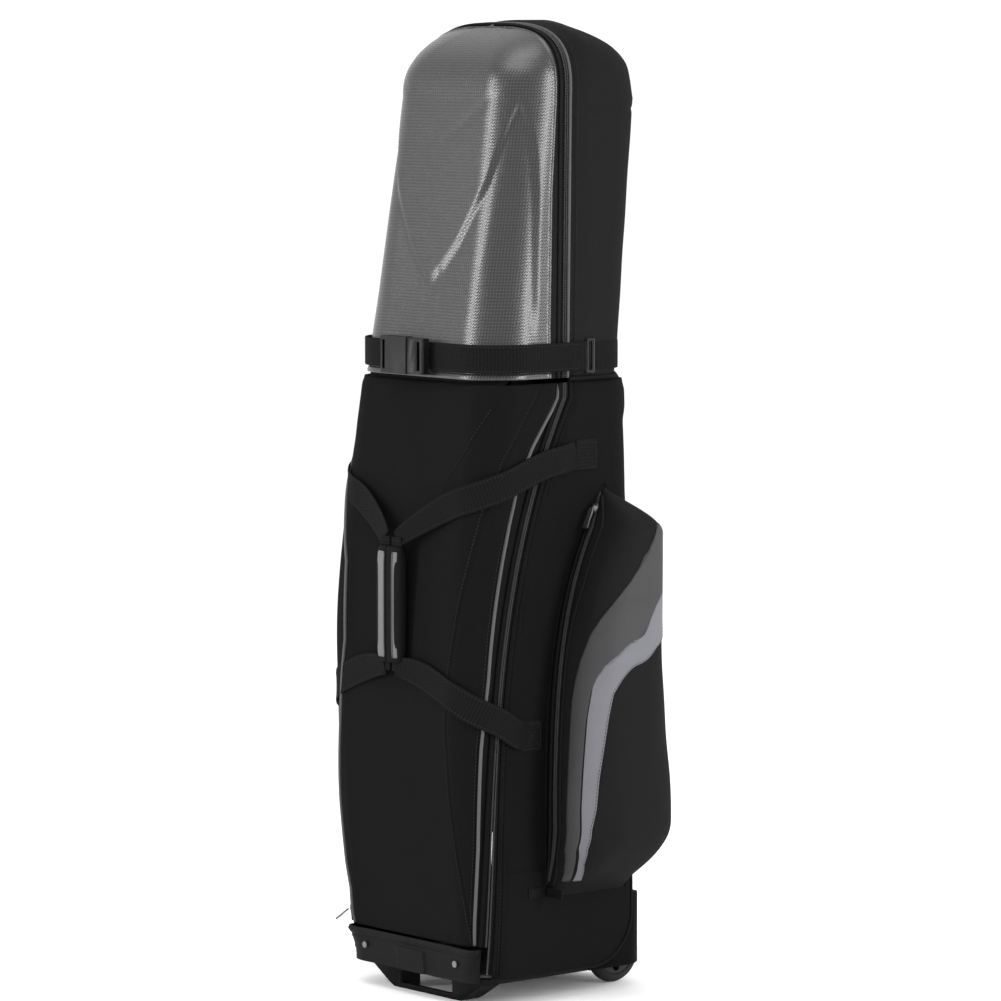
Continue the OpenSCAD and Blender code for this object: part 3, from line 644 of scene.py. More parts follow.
def top_front(z):
    return -lerp(TOP_FRONT_LOW, TOP_FRONT_HIGH, low_t(z)) + 80 * top_t(z) ** 2.6


def top_rear(z):
    return lerp(TOP_REAR_LOW, TOP_REAR_HIGH, low_t(z)) - 54 * clamp((z - 1245) / (CASE_H - 1245)) ** 1.5


def front_line(z, d=0.0, rim_gap=ZIP_HALF):
    # the right half of one level of the hard shell, from the middle of its front to the rim
    w, f, y1 = top_w(z) + d, top_front(z) - d, rim_y(z) - rim_gap
    ax, ay = min(TOP_EDGE_R, w), max(1.0, min(TOP_EDGE_R, y1 - f - 1))
    line = [((w - ax) * t, f) for t in np.linspace(0, 1, 12)]
    for q in np.linspace(0, QUARTER, 40)[1:]:
        line.append((w - ax + ax * math.sin(q), f + ay - ay * math.cos(q)))
    line += [(w, lerp(f + ay, y1, t)) for t in np.linspace(0, 1, 10)[1:]]
    return np.array(line)


def rear_line(z, d=0.0, rim_gap=ZIP_HALF):
    # the right half of one level of the fabric dome, from the rim to the middle of its back
    w, r, y0 = top_w(z) + d, top_rear(z) + d, rim_y(z) + rim_gap
    q0 = lerp(40, 90, top_t(z))
    ax, ay = min(q0, w), max(1.0, min(q0, r - y0 - 1))
    line = [(w, lerp(y0, r - ay, t)) for t in np.linspace(0, 1, 14)]
    for q in np.linspace(0, QUARTER, 34)[1:]:
        line.append((w - ax + ax * math.cos(q), r - ay + ay * math.sin(q)))
    line += [((w - ax) * (1 - t), r) for t in np.linspace(0, 1, 10)[1:]]
    return np.array(line)


def resampled(line, shares):
    # points at the given shares of the line's length
    far = np.concatenate([[0], np.cumsum(np.linalg.norm(np.diff(line, axis=0), axis=1))])
    at = np.asarray(shares) * far[-1]
    return np.stack([np.interp(at, far, line[:, 0]), np.interp(at, far, line[:, 1])], 1), at


def top_levels(low_count, high_count):
    turns = np.linspace(0, QUARTER, high_count)[1:]
    high = [SHOULDER_Z + (CASE_H - SHOULDER_Z) * math.sin(q) for q in turns]
    return np.concatenate([np.linspace(TOP_Z, SHOULDER_Z, low_count), high])


def ripple(a, b, seed, wavelength):
    # a soft irregular wrinkle pattern: a few waves that cross at odd angles
    rng = np.random.default_rng(seed)
    total = np.zeros(np.broadcast(a, b).shape)
    for _ in range(7):
        angle, phase = rng.uniform(0, math.tau, 2)
        k = math.tau / (wavelength * rng.uniform(0.6, 1.6))
        total = total + np.sin(k * (a * math.cos(angle) + b * math.sin(angle)) + phase)
    return total / 7


deep = body_rear(400) - body_front(400)
print("body is", round(2 * HALF_W), "mm wide at height 400 and", round(deep), "mm deep")

# %% [markdown]
# ## Hard front shell
# The shell is one moulding. Its main relief is a V whose legs climb to a sharp apex on each front edge
# and then run down beside the rim: below the V the surface is pressed in. I lay the relief on the grid
# as a depth that depends on the distance inside that outline, crisp on the outline and fading below.

# %% Front shell
V_ALONG = [0, 7, 22, 49, 72, 96, 105, 114, 119, 128]
V_HEIGHT = [973, 976, 992, 1024, 1064, 1108, 1144, 1172, 1192, 1213]
EDGE_HEIGHT = [836, 940, 1072, 1124, 1156, 1184, 1213]
EDGE_ALONG = [202, 192, 175, 165, 156, 144, 128]
RIDGE_ALONG = [0, 25, 71, 105, 118]
RIDGE_HEIGHT = [1150, 1163, 1196, 1228, 1240]


RELIEF_FOOT = 880.0
RELIEF_DEPTH = 4.0
RIM_ROUND = 1296.0


def shell_relief(along, z):
    # along: how far round the shell from the middle of its front
    above = (np.interp(along, V_ALONG, V_HEIGHT) - z) * (0.62 if along > 20 else 0.85)
    beside = np.interp(z, EDGE_HEIGHT, EDGE_ALONG) - along
    if along >= 128:
        above = beside if z < 1213 else -1.0
    inside = min(above, beside)
    shown = clamp((z - RELIEF_FOOT) / 60)
    depth = 0.0
    if inside > 0:
        deep = RELIEF_DEPTH + 2.2 * clamp((z - 1040) / 150)
        depth -= deep * float(ease(inside / 15.0)) * math.exp(-inside / 60.0) * shown
    if along < 120 and z > 1100:
        off = (z - np.interp(along, RIDGE_ALONG, RIDGE_HEIGHT)) / 9.0
        depth += -0.8 * math.exp(-off * off) * (1 - along / 200)
    band = math.exp(-((z - 844.5) / 1.3) ** 2)
    return depth - 1.6 * band + 0.8 * math.exp(-((z - 839) / 2.5) ** 2)


def rim_share(z, flange):
    # the share of the front line where the hard moulding ends and its fabric rim starts
    line = front_line(z)
    far = np.concatenate([[0], np.cumsum(np.linalg.norm(np.diff(line, axis=0), axis=1))])
    y_end = line[-1, 1] - flange
    if y_end <= line[0, 1]:
        return 0.06
    return max(0.06, float(np.interp(y_end, line[:, 1], far)) / far[-1])


def flange_width(z):
    return float(np.interp(z, [836, 900, 1080, 1200, 1303], [13, 15, 14, 8, 8]))


levels = np.concatenate([np.linspace(TOP_Z, 850, 15), top_levels(100, 44)[4:]])
spread = np.sin(np.linspace(-1, 1, 151) * math.pi / 2 * 0.8) / math.sin(math.pi / 2 * 0.8)
shell_rows = []
hem_right = []
for z in levels:
    cut = rim_share(z, flange_width(z))
    shares = spread * cut
    pts, _ = resampled(front_line(z), np.abs(shares))
    shell_rows.append([(math.copysign(x, share), y, z) for (x, y), share in zip(pts, shares)])
    hem, _ = resampled(front_line(z), np.linspace(cut, 1, 8))
    hem_right.append([(x, y, z) for x, y in hem])
grid = np.array(shell_rows)
out = grid_normals(grid)
for i, z in enumerate(levels):
    cut = rim_share(z, flange_width(z))
    length = resampled(front_line(z), [1.0])[1][0]
    for j, share in enumerate(spread * cut):
        to_edge = (cut - abs(share)) * length
        lift = shell_relief(abs(share) * length, z) * clamp((RIM_ROUND - z) / 30)
        lift += 1.3 * math.exp(-((to_edge - 2.0) / 2.0) ** 2)
        grid[i, j] += out[i, j] * lift
shell = skin("hard_shell", grid, 2.6)
place(shell, carbon_shell, "shell", ["front_shell"])
for side, name in SIDES:
    rows = np.array(sided(hem_right, side))
    hem = skin(name + "_shell_hem", rows - grid_normals(rows) * 0.8, 2.0)
    place(hem, dome_cloth, "shell")
print("shell grid", grid.shape[:2], "from z", levels[0], "to", round(levels[-1]))

# %% [markdown]
# ## Fabric dome behind the rim
# The back half of the top is padded fabric over foam. Seams pull the cloth in: one runs just behind
# the rim and one down each rear corner. Between seams the padding swells a little and the cloth is
# never quite even, which a slow ripple gives.

# %% Rear dome
dome_levels = top_levels(84, 36)
dome_rows = []
dome_far = []
for z in dome_levels:
    pts, far = resampled(rear_line(z), np.linspace(0, 1, 70))
    right_half = [(x, y, z) for x, y in pts]
    dome_rows.append(right_half + [(-x, y, z) for x, y, _ in right_half[-2::-1]])
    dome_far.append(list(far) + list(far[-2::-1]))
grid = np.array(dome_rows)
far = np.array(dome_far)
heights = np.array(dome_levels)[:, None] + np.zeros_like(far)
corner = far.max(axis=1, keepdims=True) - np.array([min(110, top_w(z)) for z in dome_levels])[:, None]
lift = 1.6 * ripple(far, heights, 3, 170)
lift += 2.2 * ease((far - 6) / 30) * ease((heights - TOP_Z) / 40)
lift -= 2.0 * np.exp(-((far - 6) / 2.0) ** 2)
lift -= 1.8 * np.exp(-((far - corner + 6) / 2.4) ** 2) * ease((heights - 850) / 30)
lift -= 1.4 * np.exp(-((heights - 1190) / 2.6) ** 2) * ease((far - 20) / 12)
lift *= np.clip((1299 - heights) / 30, 0, 1)
lift += 6.0 * ease((far - 8) / 26) * ease((heights - 1190) / 90)
dome = skin("fabric_dome", grid + grid_normals(grid) * lift[:, :, None], 4)
place(dome, dome_cloth, "case", ["rear_dome"])
print("dome grid", grid.shape[:2])

# %% [markdown]
# ## Rim: piping and zip
# Round the rim run, from front to back: the folded edge of the shell's hem, a zip with two rows of
# coils, and a light grey piping. The rim is a hoop, so its path goes up one side, over the arch and
# down the other side.

# %% Rim piping and zip
def rim_path(offset_y, offset_out):
    up = [(top_w(z), z) for z in top_levels(50, 46)]
    hoop = np.array(up + [(-x, z) for x, z in up[-2::-1]])
    tangent = unit(np.gradient(hoop, axis=0))
    normal = np.stack([tangent[:, 1], -tangent[:, 0]], 1)
    spot = hoop + normal * offset_out
    path = np.stack([spot[:, 0], np.array([rim_y(z) for z in hoop[:, 1]]) + offset_y, spot[:, 1]], 1)
    return path, np.stack([normal[:, 0], np.zeros(len(normal)), normal[:, 1]], 1)


def rim_sweep(name, offset_y, offset_out, section, material, body, nodes=()):
    path, outward = rim_path(offset_y, offset_out)
    return place(sweep(name, path, outward, section), material, body, nodes)


rim_sweep("shell_rim_binding", -9.6, 0.4, oval(2.6, 2.0, 12), dome_cloth, "shell",
          ["shell_piping"])
rim_sweep("shell_rim_tape", -4.4, -1.2, ribbon_section(6.6, 1.6), zip_tape, "shell",
          ["shell_zip"])
rim_sweep("dome_rim_tape", 3.8, -1.2, ribbon_section(6.0, 1.6), zip_tape, "case", ["dome_zip"])
rim_sweep("shell_rim_coil", -1.7, 0.3, oval(1.3, 1.5, 8), zip_coil, "shell")
rim_sweep("dome_rim_coil", 1.7, 0.3, oval(1.3, 1.5, 8), zip_coil, "case")
rim_sweep("dome_rim_piping", 6.2, 1.1, oval(2.2, 2.2, 12), grey_cord, "case", ["dome_piping"])
path, outward = rim_path(18.5, 2.4)
sewn("dome_rim_stitches", path, outward, "case")
print("rim hoop of", len(path), "stations")

# %% [markdown]
# ## Front panel of the body
# The front panel is one large piece of padded cloth. Two style seams cross it on the right. I press the
# seams in as fine grooves, let the padding swell beside them, and add slack ripples near the top where
# the loops pull. The panel is held by the zip all round, so its edge stays exactly on the zip line.

# %% Front panel
SEAM_A = ([696, 746, 804], [78, 115, 146])
SEAM_B = ([84, 114, 188, 282, 374, 428, 548, 674, 738, 810, 830],
          [131, 128, 120, 110, 105, 109, 125, 147, 167, 204, 214])
PIPE_Z = [84, 122, 216, 350, 442, 536, 600, 686, 744, 794, 830]
PIPE_IN = [17, 18, 18, 22, 21, 26, 29, 33, 27, 13, 9]
LEFT_Z = [84, 132, 170, 252, 364, 476, 582, 700, 790, 830]
LEFT_S = [118, 116, 125, 131, 119, 106, 111, 140, 190, 210]


def groove(distance, deep, wide):
    return -deep * np.exp(-(distance / wide) ** 2) + 0.35 * deep * np.exp(-(distance / (wide * 6)) ** 2)


def panel_lift(s, z):
    edge = np.array([zip_s(v) - ZIP_HALF for v in z[:, 0]])[:, None]
    near = np.clip((edge - np.abs(s)) / 22, 0, 1)
    ends = np.clip((z - PANEL_FOOT) / 20, 0, 1) * np.clip((BODY_TOP - z) / 12, 0, 1)
    lift = 3.2 * ease(near) * (0.35 + 0.65 * ease(ends))
    lift += groove(s - np.interp(z, *SEAM_B), 1.5, 1.9)
    inside = (z > 690) & (z < 812)
    lift += groove(s - np.interp(z, *SEAM_A), 1.2, 1.8) * inside
    lift += 1.5 * ripple(s, z * 0.6, 11, 120) * ease(near)
    lift += 1.1 * ripple(s + 0.8 * z, z * 0.2, 5, 46) * ease(near) * np.exp(-((z - 690) / 70) ** 2)
    lift += 6.0 * np.exp(-((s + 132) / 34) ** 2) * np.exp(-((z - 545) / 150) ** 2)
    lift += 2.0 * np.exp(-((s + 132) / 30) ** 2) * np.exp(-((z - 240) / 120) ** 2)
    return lift


panel_z = np.linspace(PANEL_FOOT, BODY_TOP, 190)
panel_s = np.array([[(zip_s(z) - ZIP_HALF) * t for t in np.linspace(-1, 1, 201)] for z in panel_z])
panel_h = panel_z[:, None] + np.zeros_like(panel_s)
grid = np.array([[body_pt(s, z) for s in row] for row, z in zip(panel_s, panel_z)])
lifts = panel_lift(panel_s, panel_h)
panel = skin("front_panel_cloth", grid + grid_normals(grid) * lifts[:, :, None], 4)
place(panel, body_cloth, "lid", ["front_panel"])


def panel_point(s, z, d):
    rise = float(panel_lift(np.array([[s]]), np.array([[float(z)]]))[0, 0])
    return body_pt(s, z, rise + d)


def panel_line(name, heights, places, d, section, material):
    path = [panel_point(s, z, d) for s, z in zip(places, heights)]
    outward = [body_out(s, z) for s, z in zip(places, heights)]
    return place(sweep(name, path, outward, section), material, "lid")


heights = np.linspace(86, 829, 150)
right_pipe = [zip_s(z) - np.interp(z, PIPE_Z, PIPE_IN) for z in heights]
left_pipe = [-np.interp(z, LEFT_Z, LEFT_S) for z in heights]
cord = oval(2.3, 2.3, 12)
piping = panel_line("right_panel_piping", heights, right_pipe, 0.9, cord, grey_cord)
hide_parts("panel_piping")
panel_line("left_panel_piping", heights, left_pipe, 0.9, cord, grey_cord)
for name, places, step in (("right_pipe", right_pipe, -6), ("left_pipe", left_pipe, 6)):
    path = [panel_point(s + step, z, 0.2) for s, z in zip(places, heights)]
    outward = [body_out(s, z) for s, z in zip(places, heights)]
    sewn(name + "_stitches", path, outward, "lid")
for name, seam, z0, z1 in (("seam_a", SEAM_A, 700, 800), ("seam_b", SEAM_B, 90, 822)):
    line = np.linspace(z0, z1, 90)
    path = [panel_point(np.interp(z, *seam) - 4.5, z, 0.15) for z in line]
    outward = [body_out(np.interp(z, *seam), z) for z in line]
    sewn(name + "_stitches", path, outward, "lid")
print("front panel grid", grid.shape[:2], "with lifts to", round(float(lifts.max()), 1), "mm")

# %% [markdown]
# ## Body zip
# The big zip starts low on each front corner and sweeps back to the waist. Half of it is sewn to the
# panel and opens with it; the other half stays on the body.

# %% Body zip
def zip_line(offset, d, z0=46, z1=830, side=RIGHT):
    line = np.linspace(z0, z1, 150)
    path = [body_pt(side * (zip_s(z) + offset), z, d) for z in line]
    outward = [body_out(side * (zip_s(z) + offset), z) for z in line]
    return path, outward


def zip_sweep(name, offset, d, section, material, body, nodes=(), z0=46.0):
    for side, tag in ((RIGHT, "right_"), (LEFT, "left_")):
        path, outward = zip_line(offset, d, z0, 830, side)
        place(sweep(tag + name, path, outward, section), material, body)
    if nodes:
        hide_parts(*nodes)


tape = ribbon_section(7.0, 1.6)
coil = oval(1.4, 1.6, 8)
zip_sweep("panel_zip_tape", -4.4, 0.2, tape, zip_tape, "lid", ["panel_zip"], PANEL_FOOT)
zip_sweep("body_zip_tape", 4.4, 0.2, tape, zip_tape, "case", ["body_zip"])
zip_sweep("panel_zip_coil", -1.8, 1.6, coil, zip_coil, "lid", (), PANEL_FOOT)
zip_sweep("body_zip_coil", 1.8, 1.6, coil, zip_coil, "case")
zip_sweep("panel_zip_welt", -9.0, 1.6, oval(2.4, 2.2, 10), body_cloth, "lid", (), PANEL_FOOT)
zip_sweep("body_zip_welt", 10.0, 1.6, oval(2.6, 2.4, 10), body_cloth, "case")
for name, offset in (("outer_welt", 19.0), ("last_welt", 27.0)):
    zip_sweep("body_zip_" + name, offset, 1.0, oval(2.2, 1.8, 10), body_cloth, "case")
for side, tag in SIDES:
    path, outward = zip_line(14.5, 1.6, 46, 826, side)
    sewn(tag + "_body_zip_stitches", path, outward, "case")
print("zip runs", round(2 * 830 / 1000, 2), "m in all")

# %% [markdown]
# ## Side gussets and back
# Each side is one gusset. Its rear foot is cut as a round corner, and a moulded guard shows outside it.
# The upper edge is turned in under the waist.

# %% Gussets and back panel
CORNER_Y = 50.0
CORNER_Z = 112.0
CORNER_R = 74.0
GUARD_TOP = 178.0
BACK_FOOT = 134.0
BACK_HALF = 106
BACK_SEAMS = (330, 560)


def gusset_end(z):
    if z < CORNER_Z:
        drop = min(1.0, (CORNER_Z - z) / CORNER_R)
        return body_s(CORNER_Y + CORNER_R * math.sqrt(1 - drop * drop), z)
    return lerp(body_s(CORNER_Y + CORNER_R, z), back_s(z), float(ease((z - GUARD_TOP) / 8)))


gusset_z = np.concatenate([np.linspace(38.5, GUARD_TOP - 3, 50), np.linspace(GUARD_TOP, GUARD_TOP + 10, 8),
                           np.linspace(GUARD_TOP + 14, BODY_TOP, 130)])
rows = []
place_s = []
for z in gusset_z:
    line = np.linspace(zip_s(z) + ZIP_HALF, gusset_end(z), 80)
    place_s.append(line)
    rows.append([body_pt(s, z, 0.5) for s in line])
grid = np.array(rows)
s_all = np.array(place_s)
z_all = gusset_z[:, None] + np.zeros_like(s_all)
hold = ease((s_all - s_all[:, :1]) / 20) * ease((s_all[:, -1:] - s_all) / 14)
lift = 1.8 * hold + 1.6 * ripple(s_all, z_all, 21, 130) * hold
lift += 1.6 * ripple(s_all - 0.7 * z_all, z_all * 0.15, 8, 44) * hold * np.exp(-((z_all - 600) / 90) ** 2)
lift += 1.2 * ripple(s_all + 0.9 * z_all, z_all * 0.2, 9, 40) * hold * np.exp(-((z_all - 120) / 60) ** 2)
lift += 3.0 * ease((z_all - 770) / 25) * ease((830 - z_all) / 18) * hold
for side, name in SIDES:
    cloth = np.array(sided((grid + grid_normals(grid) * lift[:, :, None]).tolist(), side))
    place(skin(name + "_gusset_cloth", cloth, 4), body_cloth, "case", [name + "_gusset"])
    foot = [body_pt(side * s, 38.5, 1.2) for s in np.linspace(zip_s(46) + 6, gusset_end(38.5), 40)]
    rise = [body_pt(side * gusset_end(z), z, 1.2) for z in np.linspace(40, GUARD_TOP - 2, 60)]
    hem_path = curve_through(foot + rise, 140)
    hem_out = [(side, 0, 0)] * len(hem_path)
    place(sweep(name + "_hem", hem_path, hem_out, oval(2.0, 1.8, 10)), webbing, "case")
back_rows = []
for z in np.linspace(BACK_FOOT, BODY_TOP, 90):
    back_rows.append([(x, body_rear(z), z) for x in np.linspace(BACK_HALF, -BACK_HALF, 40)])
grid = np.array(back_rows)
bx, bz = grid[:, :, 0], grid[:, :, 2]
hold = ease((BACK_HALF - np.abs(bx)) / 16) * ease((bz - BACK_FOOT) / 12) * ease((BODY_TOP - bz) / 12)
lift = (2.4 + 1.4 * ripple(bx, bz, 31, 120)) * hold
for seam_z in BACK_SEAMS:
    lift -= 1.6 * np.exp(-((bz - seam_z) / 2.2) ** 2)
back = skin("back_cloth", grid + grid_normals(grid) * lift[:, :, None], 4)
place(back, body_cloth, "case", ["back_panel"])
low_rows = [[(x, body_rear(z), z) for x in np.linspace(59, -59, 20)] for z in np.linspace(40, BACK_FOOT, 20)]
place(skin("back_foot_cloth", low_rows, 4), body_cloth, "case")
for seam_z in BACK_SEAMS:
    path = [(x, body_rear(seam_z + 5) + 2.0, seam_z + 5) for x in np.linspace(100, -100, 60)]
    sewn("back_stitches_" + str(seam_z), path, (0, 1, 0), "case")
print("gusset grid", s_all.shape)

# %% [markdown]
# ## Waist
# Behind the zip the body steps in to the narrower top: a soft band covers the step and a cord finishes
# it. In front, the shell and the panel are hinged by a strip of cloth that has to bend between the two
# when the shell folds forward; here its shape is blended from the waist of the body to the foot of the
# shell, and it is not attached to either.

# %% Waist band and fabric hinge
start_s = zip_s(BODY_TOP) + ZIP_HALF
end_s = back_s(BODY_TOP) + HALF_W - BODY_R
foot_line, _ = resampled(rear_line(TOP_Z), np.linspace(0, 1, 60))
right_band = []
for t in np.linspace(0, 1, 10):
    row = []
    for j, s in enumerate(np.linspace(start_s, end_s, 60)):
        x, y, z = body_pt(s, BODY_TOP)
        rise = math.sin(t * QUARTER)
        row.append((lerp(x, foot_line[j, 0], t), lerp(y, foot_line[j, 1], t), lerp(z, TOP_Z + 4, rise)))
    right_band.append(row)
for side, name in SIDES:
    band = skin(name + "_waist_band", sided(right_band, side), 2.5)
    place(band, body_cloth, "case", ["waist_band"] if side == RIGHT else ())
full = np.vstack([foot_line, foot_line[-2::-1] * (-1, 1)])
cord_path = np.column_stack([full, np.full(len(full), TOP_Z - 1.0)])
centre_out = unit(cord_path - np.array([0, 40, TOP_Z - 1.0]))
waist_cord = sweep("waist_cord", cord_path + centre_out * 2.0, centre_out, oval(2.6, 2.6, 10))
place(waist_cord, webbing, "case")

hinge_rows = []
for z in np.linspace(822, 846, 13):
    t = (z - 822) / 24
    inner = 5.5 - 1.5 * math.sin(t * math.pi)
    row = []
    for s in np.linspace(-150, 150, 61):
        a = np.array(body_pt(s, 826, -inner)[:2])
        flat, _ = resampled(front_line(842, -inner + 0.5), [min(0.97, abs(s) / 215)])
        b = np.array([math.copysign(flat[0, 0], s), flat[0, 1]])
        p = a + (b - a) * float(ease(t))
        row.append((p[0], p[1], z))
    hinge_rows.append(row)
hinge = skin("waist_hinge_cloth", hinge_rows, 1.2)
hinge.data.materials.append(body_cloth)
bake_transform(hinge)
print("waist band and hinge made")

# %% [markdown]
# ## Side pockets
# A pocket is a box of padded cloth that bulges off the side and narrows toward the top. Its face is a
# superellipse, flat in the middle and tightly rounded at the corners, and filled pockets sag low, so
# the lower third swells most.

# %% Pockets
POCKET_LOW = 140.0
POCKET_HIGH = 690.0
POCKET_REAR = 124.0


def pocket_t(z):
    return clamp((z - POCKET_LOW) / (POCKET_HIGH - POCKET_LOW))


def pocket_front(z):
    return -28 + 100 * pocket_t(z) ** 4


def pocket_foot(z):
    return math.sin(math.pi / 2 * clamp(pocket_t(z) / 0.19)) ** 1.1


def pocket_head(z):
    return math.sin(math.pi / 2 * clamp((1 - pocket_t(z)) / 0.113)) ** 1.36


def pocket_deep(z):
    return lerp(110, 80, pocket_t(z)) * pocket_foot(z) * pocket_head(z)


def pocket_back(z):
    return POCKET_REAR - 16 * (1 - pocket_foot(z)) - 54 * (1 - pocket_head(z))


def pocket_pt(angle, z, d=0.0):
    f, r = pocket_front(z) - d, pocket_back(z) + d
    c, s = math.cos(math.radians(angle)), max(0.0, math.sin(math.radians(angle)))
    x = HALF_W + 0.4 + max(0.0, pocket_deep(z) + d) * s ** 0.6
    return x, (f + r) / 2 - (r - f) / 2 * math.copysign(abs(c) ** 0.6, c), z


def pocket_lift(angle, z):
    swell = math.sin(math.radians(angle)) ** 0.5 if 0 < angle < 180 else 0.0
    t = pocket_t(z)
    ends = float(ease(t / 0.06) * ease((1 - t) / 0.06))
    lift = 7.0 * swell * math.exp(-((z - 262) / 105) ** 2)
    lift += 1.4 * float(ripple(angle * 1.6, z, 41, 110)) * swell
    creases = float(ripple(angle * 1.2 + 0.6 * z, z * 0.3, 44, 38))
    lift += 1.0 * creases * swell * math.exp(-((z - 200) / 60) ** 2)
    return lift * ends


def pocket_spot(angle, z, d=0.0):
    a = np.array(pocket_pt(angle, z, 0))
    b = np.array(pocket_pt(angle, z, 10))
    return a + (b - a) / 10 * (pocket_lift(angle, z) + d)


angles = np.concatenate([np.linspace(0, 24, 26), np.linspace(24, 156, 84)[1:],
                         np.linspace(156, 180, 20)[1:]])
shares = 0.5 - 0.5 * np.cos(np.linspace(0, math.pi, 130))
shares = 0.55 * shares + 0.45 * np.linspace(0, 1, 130)
pocket_z = POCKET_LOW + (POCKET_HIGH - POCKET_LOW) * shares
pocket_grid = [[pocket_spot(a, z) for a in angles] for z in pocket_z]


def pocket_part(name, heights, low, high, d, thick, columns, side, material, node=None):
    rows = []
    for z in heights:
        rows.append([tuple(pocket_spot(a, z, d)) for a in np.linspace(low(z), high(z), columns)])
    made = skin(name, sided(rows, side), thick)
    return place(made, material, "case", [node] if node else ())


DARK_Z = [165, 190, 211, 251, 305, 411, 439, 465, 499, 521, 537, 551, 567, 585, 615, 633, 645]
DARK_LOW = [30, 19, 13, 12.5, 14, 15.5, 18, 22, 31, 43, 55, 66, 78, 87, 92, 98, 112]
GAP_Z = [165, 190, 213, 267, 307, 387, 427, 443, 457, 473, 491, 517, 531, 543, 551, 645]
GAP_MID = [50, 36, 27.5, 28, 30, 34, 39, 45, 55, 74, 90, 97, 104, 116, 130, 160]
PALE_Z = [160, 193, 215, 241, 269, 309, 361, 395, 421, 439, 459, 477, 491, 530]
PALE_HIGH = [70, 46, 40, 40, 46, 50, 58, 63, 68, 78, 91, 106, 130, 150]


def dark_low(z):
    return float(np.interp(z, DARK_Z, DARK_LOW))


def dark_high(z):
    return max(dark_low(z) + 0.3, float(np.interp(z + 3, GAP_Z, GAP_MID)) - 1.0)


def pale_low(z):
    return float(np.interp(z - 3, GAP_Z, GAP_MID)) + 1.0


def pale_high(z):
    return max(pale_low(z) + 0.3, float(np.interp(z, PALE_Z, PALE_HIGH)))


def welt_angle(z):
    return float(np.interp(z, [160, 200, 480, 520, 560, 676], [16, 7.5, 7.5, 9, 12.5, 15]))


for side, name in SIDES:
    shell_of = skin(name + "_pocket_cloth", sided([[tuple(p) for p in row] for row in pocket_grid], side), 4)
    place(shell_of, pocket_cloth, "case", [name + "_pocket"])
    pocket_part(name + "_dark_swoosh_cloth", np.linspace(166, 640, 150), dark_low, dark_high, 0.9, 1.4, 26,
                side, dark_band, name + "_dark_swoosh")
    pocket_part(name + "_pale_swoosh_cloth", np.linspace(166, 556, 130), pale_low, pale_high, 0.9, 1.4, 26,
                side, pale_band, name + "_pale_swoosh")
    pocket_part(name + "_pocket_tape", np.linspace(165, 680, 120), lambda z: 1.8, lambda z: 6.6, 1.0, 1.6, 9,
                side, zip_tape, name + "_pocket_zip")
    for tag, angle in (("front", 3.3), ("rear", 4.6)):
        path = np.array([pocket_spot(angle, z, 2.0) for z in np.linspace(165, 680, 140)]) * (side, 1, 1)
        coil = sweep(name + "_pocket_coil_" + tag, path, (0, -1, 0), oval(1.7, 1.5, 8))
        place(coil, zip_coil, "case")
    for tag, angle in (("inner", lambda z: 1.2), ("outer", welt_angle)):
        path = np.array([pocket_spot(angle(z), z, 1.2) for z in np.linspace(160, 676, 140)]) * (side, 1, 1)
        welt = sweep(name + "_pocket_welt_" + tag, path, (0, -1, 0), oval(2.0, 2.0, 10))
        place(welt, pocket_cloth, "case")
    for tag, edge in (("dark", lambda z: dark_low(z) + 0.6), ("pale", lambda z: pale_high(z) - 1.5)):
        line = np.linspace(172, 628 if tag == "dark" else 548, 150)
        path = np.array([pocket_spot(edge(z), z, 1.2) for z in line])
        outward = path - np.array([HALF_W - 40, 40, 0]) * (1, 1, 0) - path * (0, 0, 1)
        sewn(name + "_" + tag + "_stitches", path * (side, 1, 1), outward * (side, 1, 1),
             "case")
print("pocket grid", len(pocket_z), "by", len(angles))

# %% [markdown]
# ## Foot of the pocket zip
# Each pocket's zip ends at a short sewn bar that bridges from the body to the pocket, with a bound seam
# where the pocket meets the side.

# %% Pocket bars and seam bindings
for side, name in SIDES:
    bar = [body_pt(side * body_s(y, 150), 150, 2.2) for y in np.linspace(-62, -26, 14)]
    bar += [(side * x, -31.5, 150) for x in np.linspace(156, 186, 12)]
    bar = curve_through(bar, 40)
    outward = [(side, 0, 0)] * 20 + [(side * 0.2, -1, 0)] * 20
    place(sweep(name + "_pocket_bar", bar, outward, ribbon_section(13, 3.0)), webbing, "case")
    for tag, angle, y_off in (("front", 0.0, -2.5), ("rear", 180.0, 2.5)):
        line = np.linspace(142, 688, 90)
        path = np.array([pocket_pt(angle, z, 0) for z in line]) + (1.2, y_off, 0)
        bound = sweep(name + "_pocket_seam_" + tag, path * (side, 1, 1), (side, 0, 0), oval(2.4, 2.2, 10))
        place(bound, body_cloth, "case")
print("pocket bars made")

# %% [markdown]
# ## Compression strap
# Webbing is a flat band with slightly rounded edges. It runs round the waist in three lengths: one on
# each side from the buckle to a hook, and one across the back.

# %% Waist strap
STRAP_Z = 864.0
STRAP_GAP = 3.0
WEB = 38.0
WEB_T = 2.6
HOOK_Y = 46.0


def front_run(side, x_from):
    line = front_line(STRAP_Z, STRAP_GAP + WEB_T / 2)
    line = line[line[:, 0] > x_from]
    line = np.vstack([[x_from, top_front(STRAP_Z) - STRAP_GAP - WEB_T / 2], line,
                      [top_w(STRAP_Z) + 4.3, HOOK_Y - 9]])
    line = curve_through(line, 90)
    return np.column_stack([line[:, 0] * side, line[:, 1], np.full(len(line), STRAP_Z)])


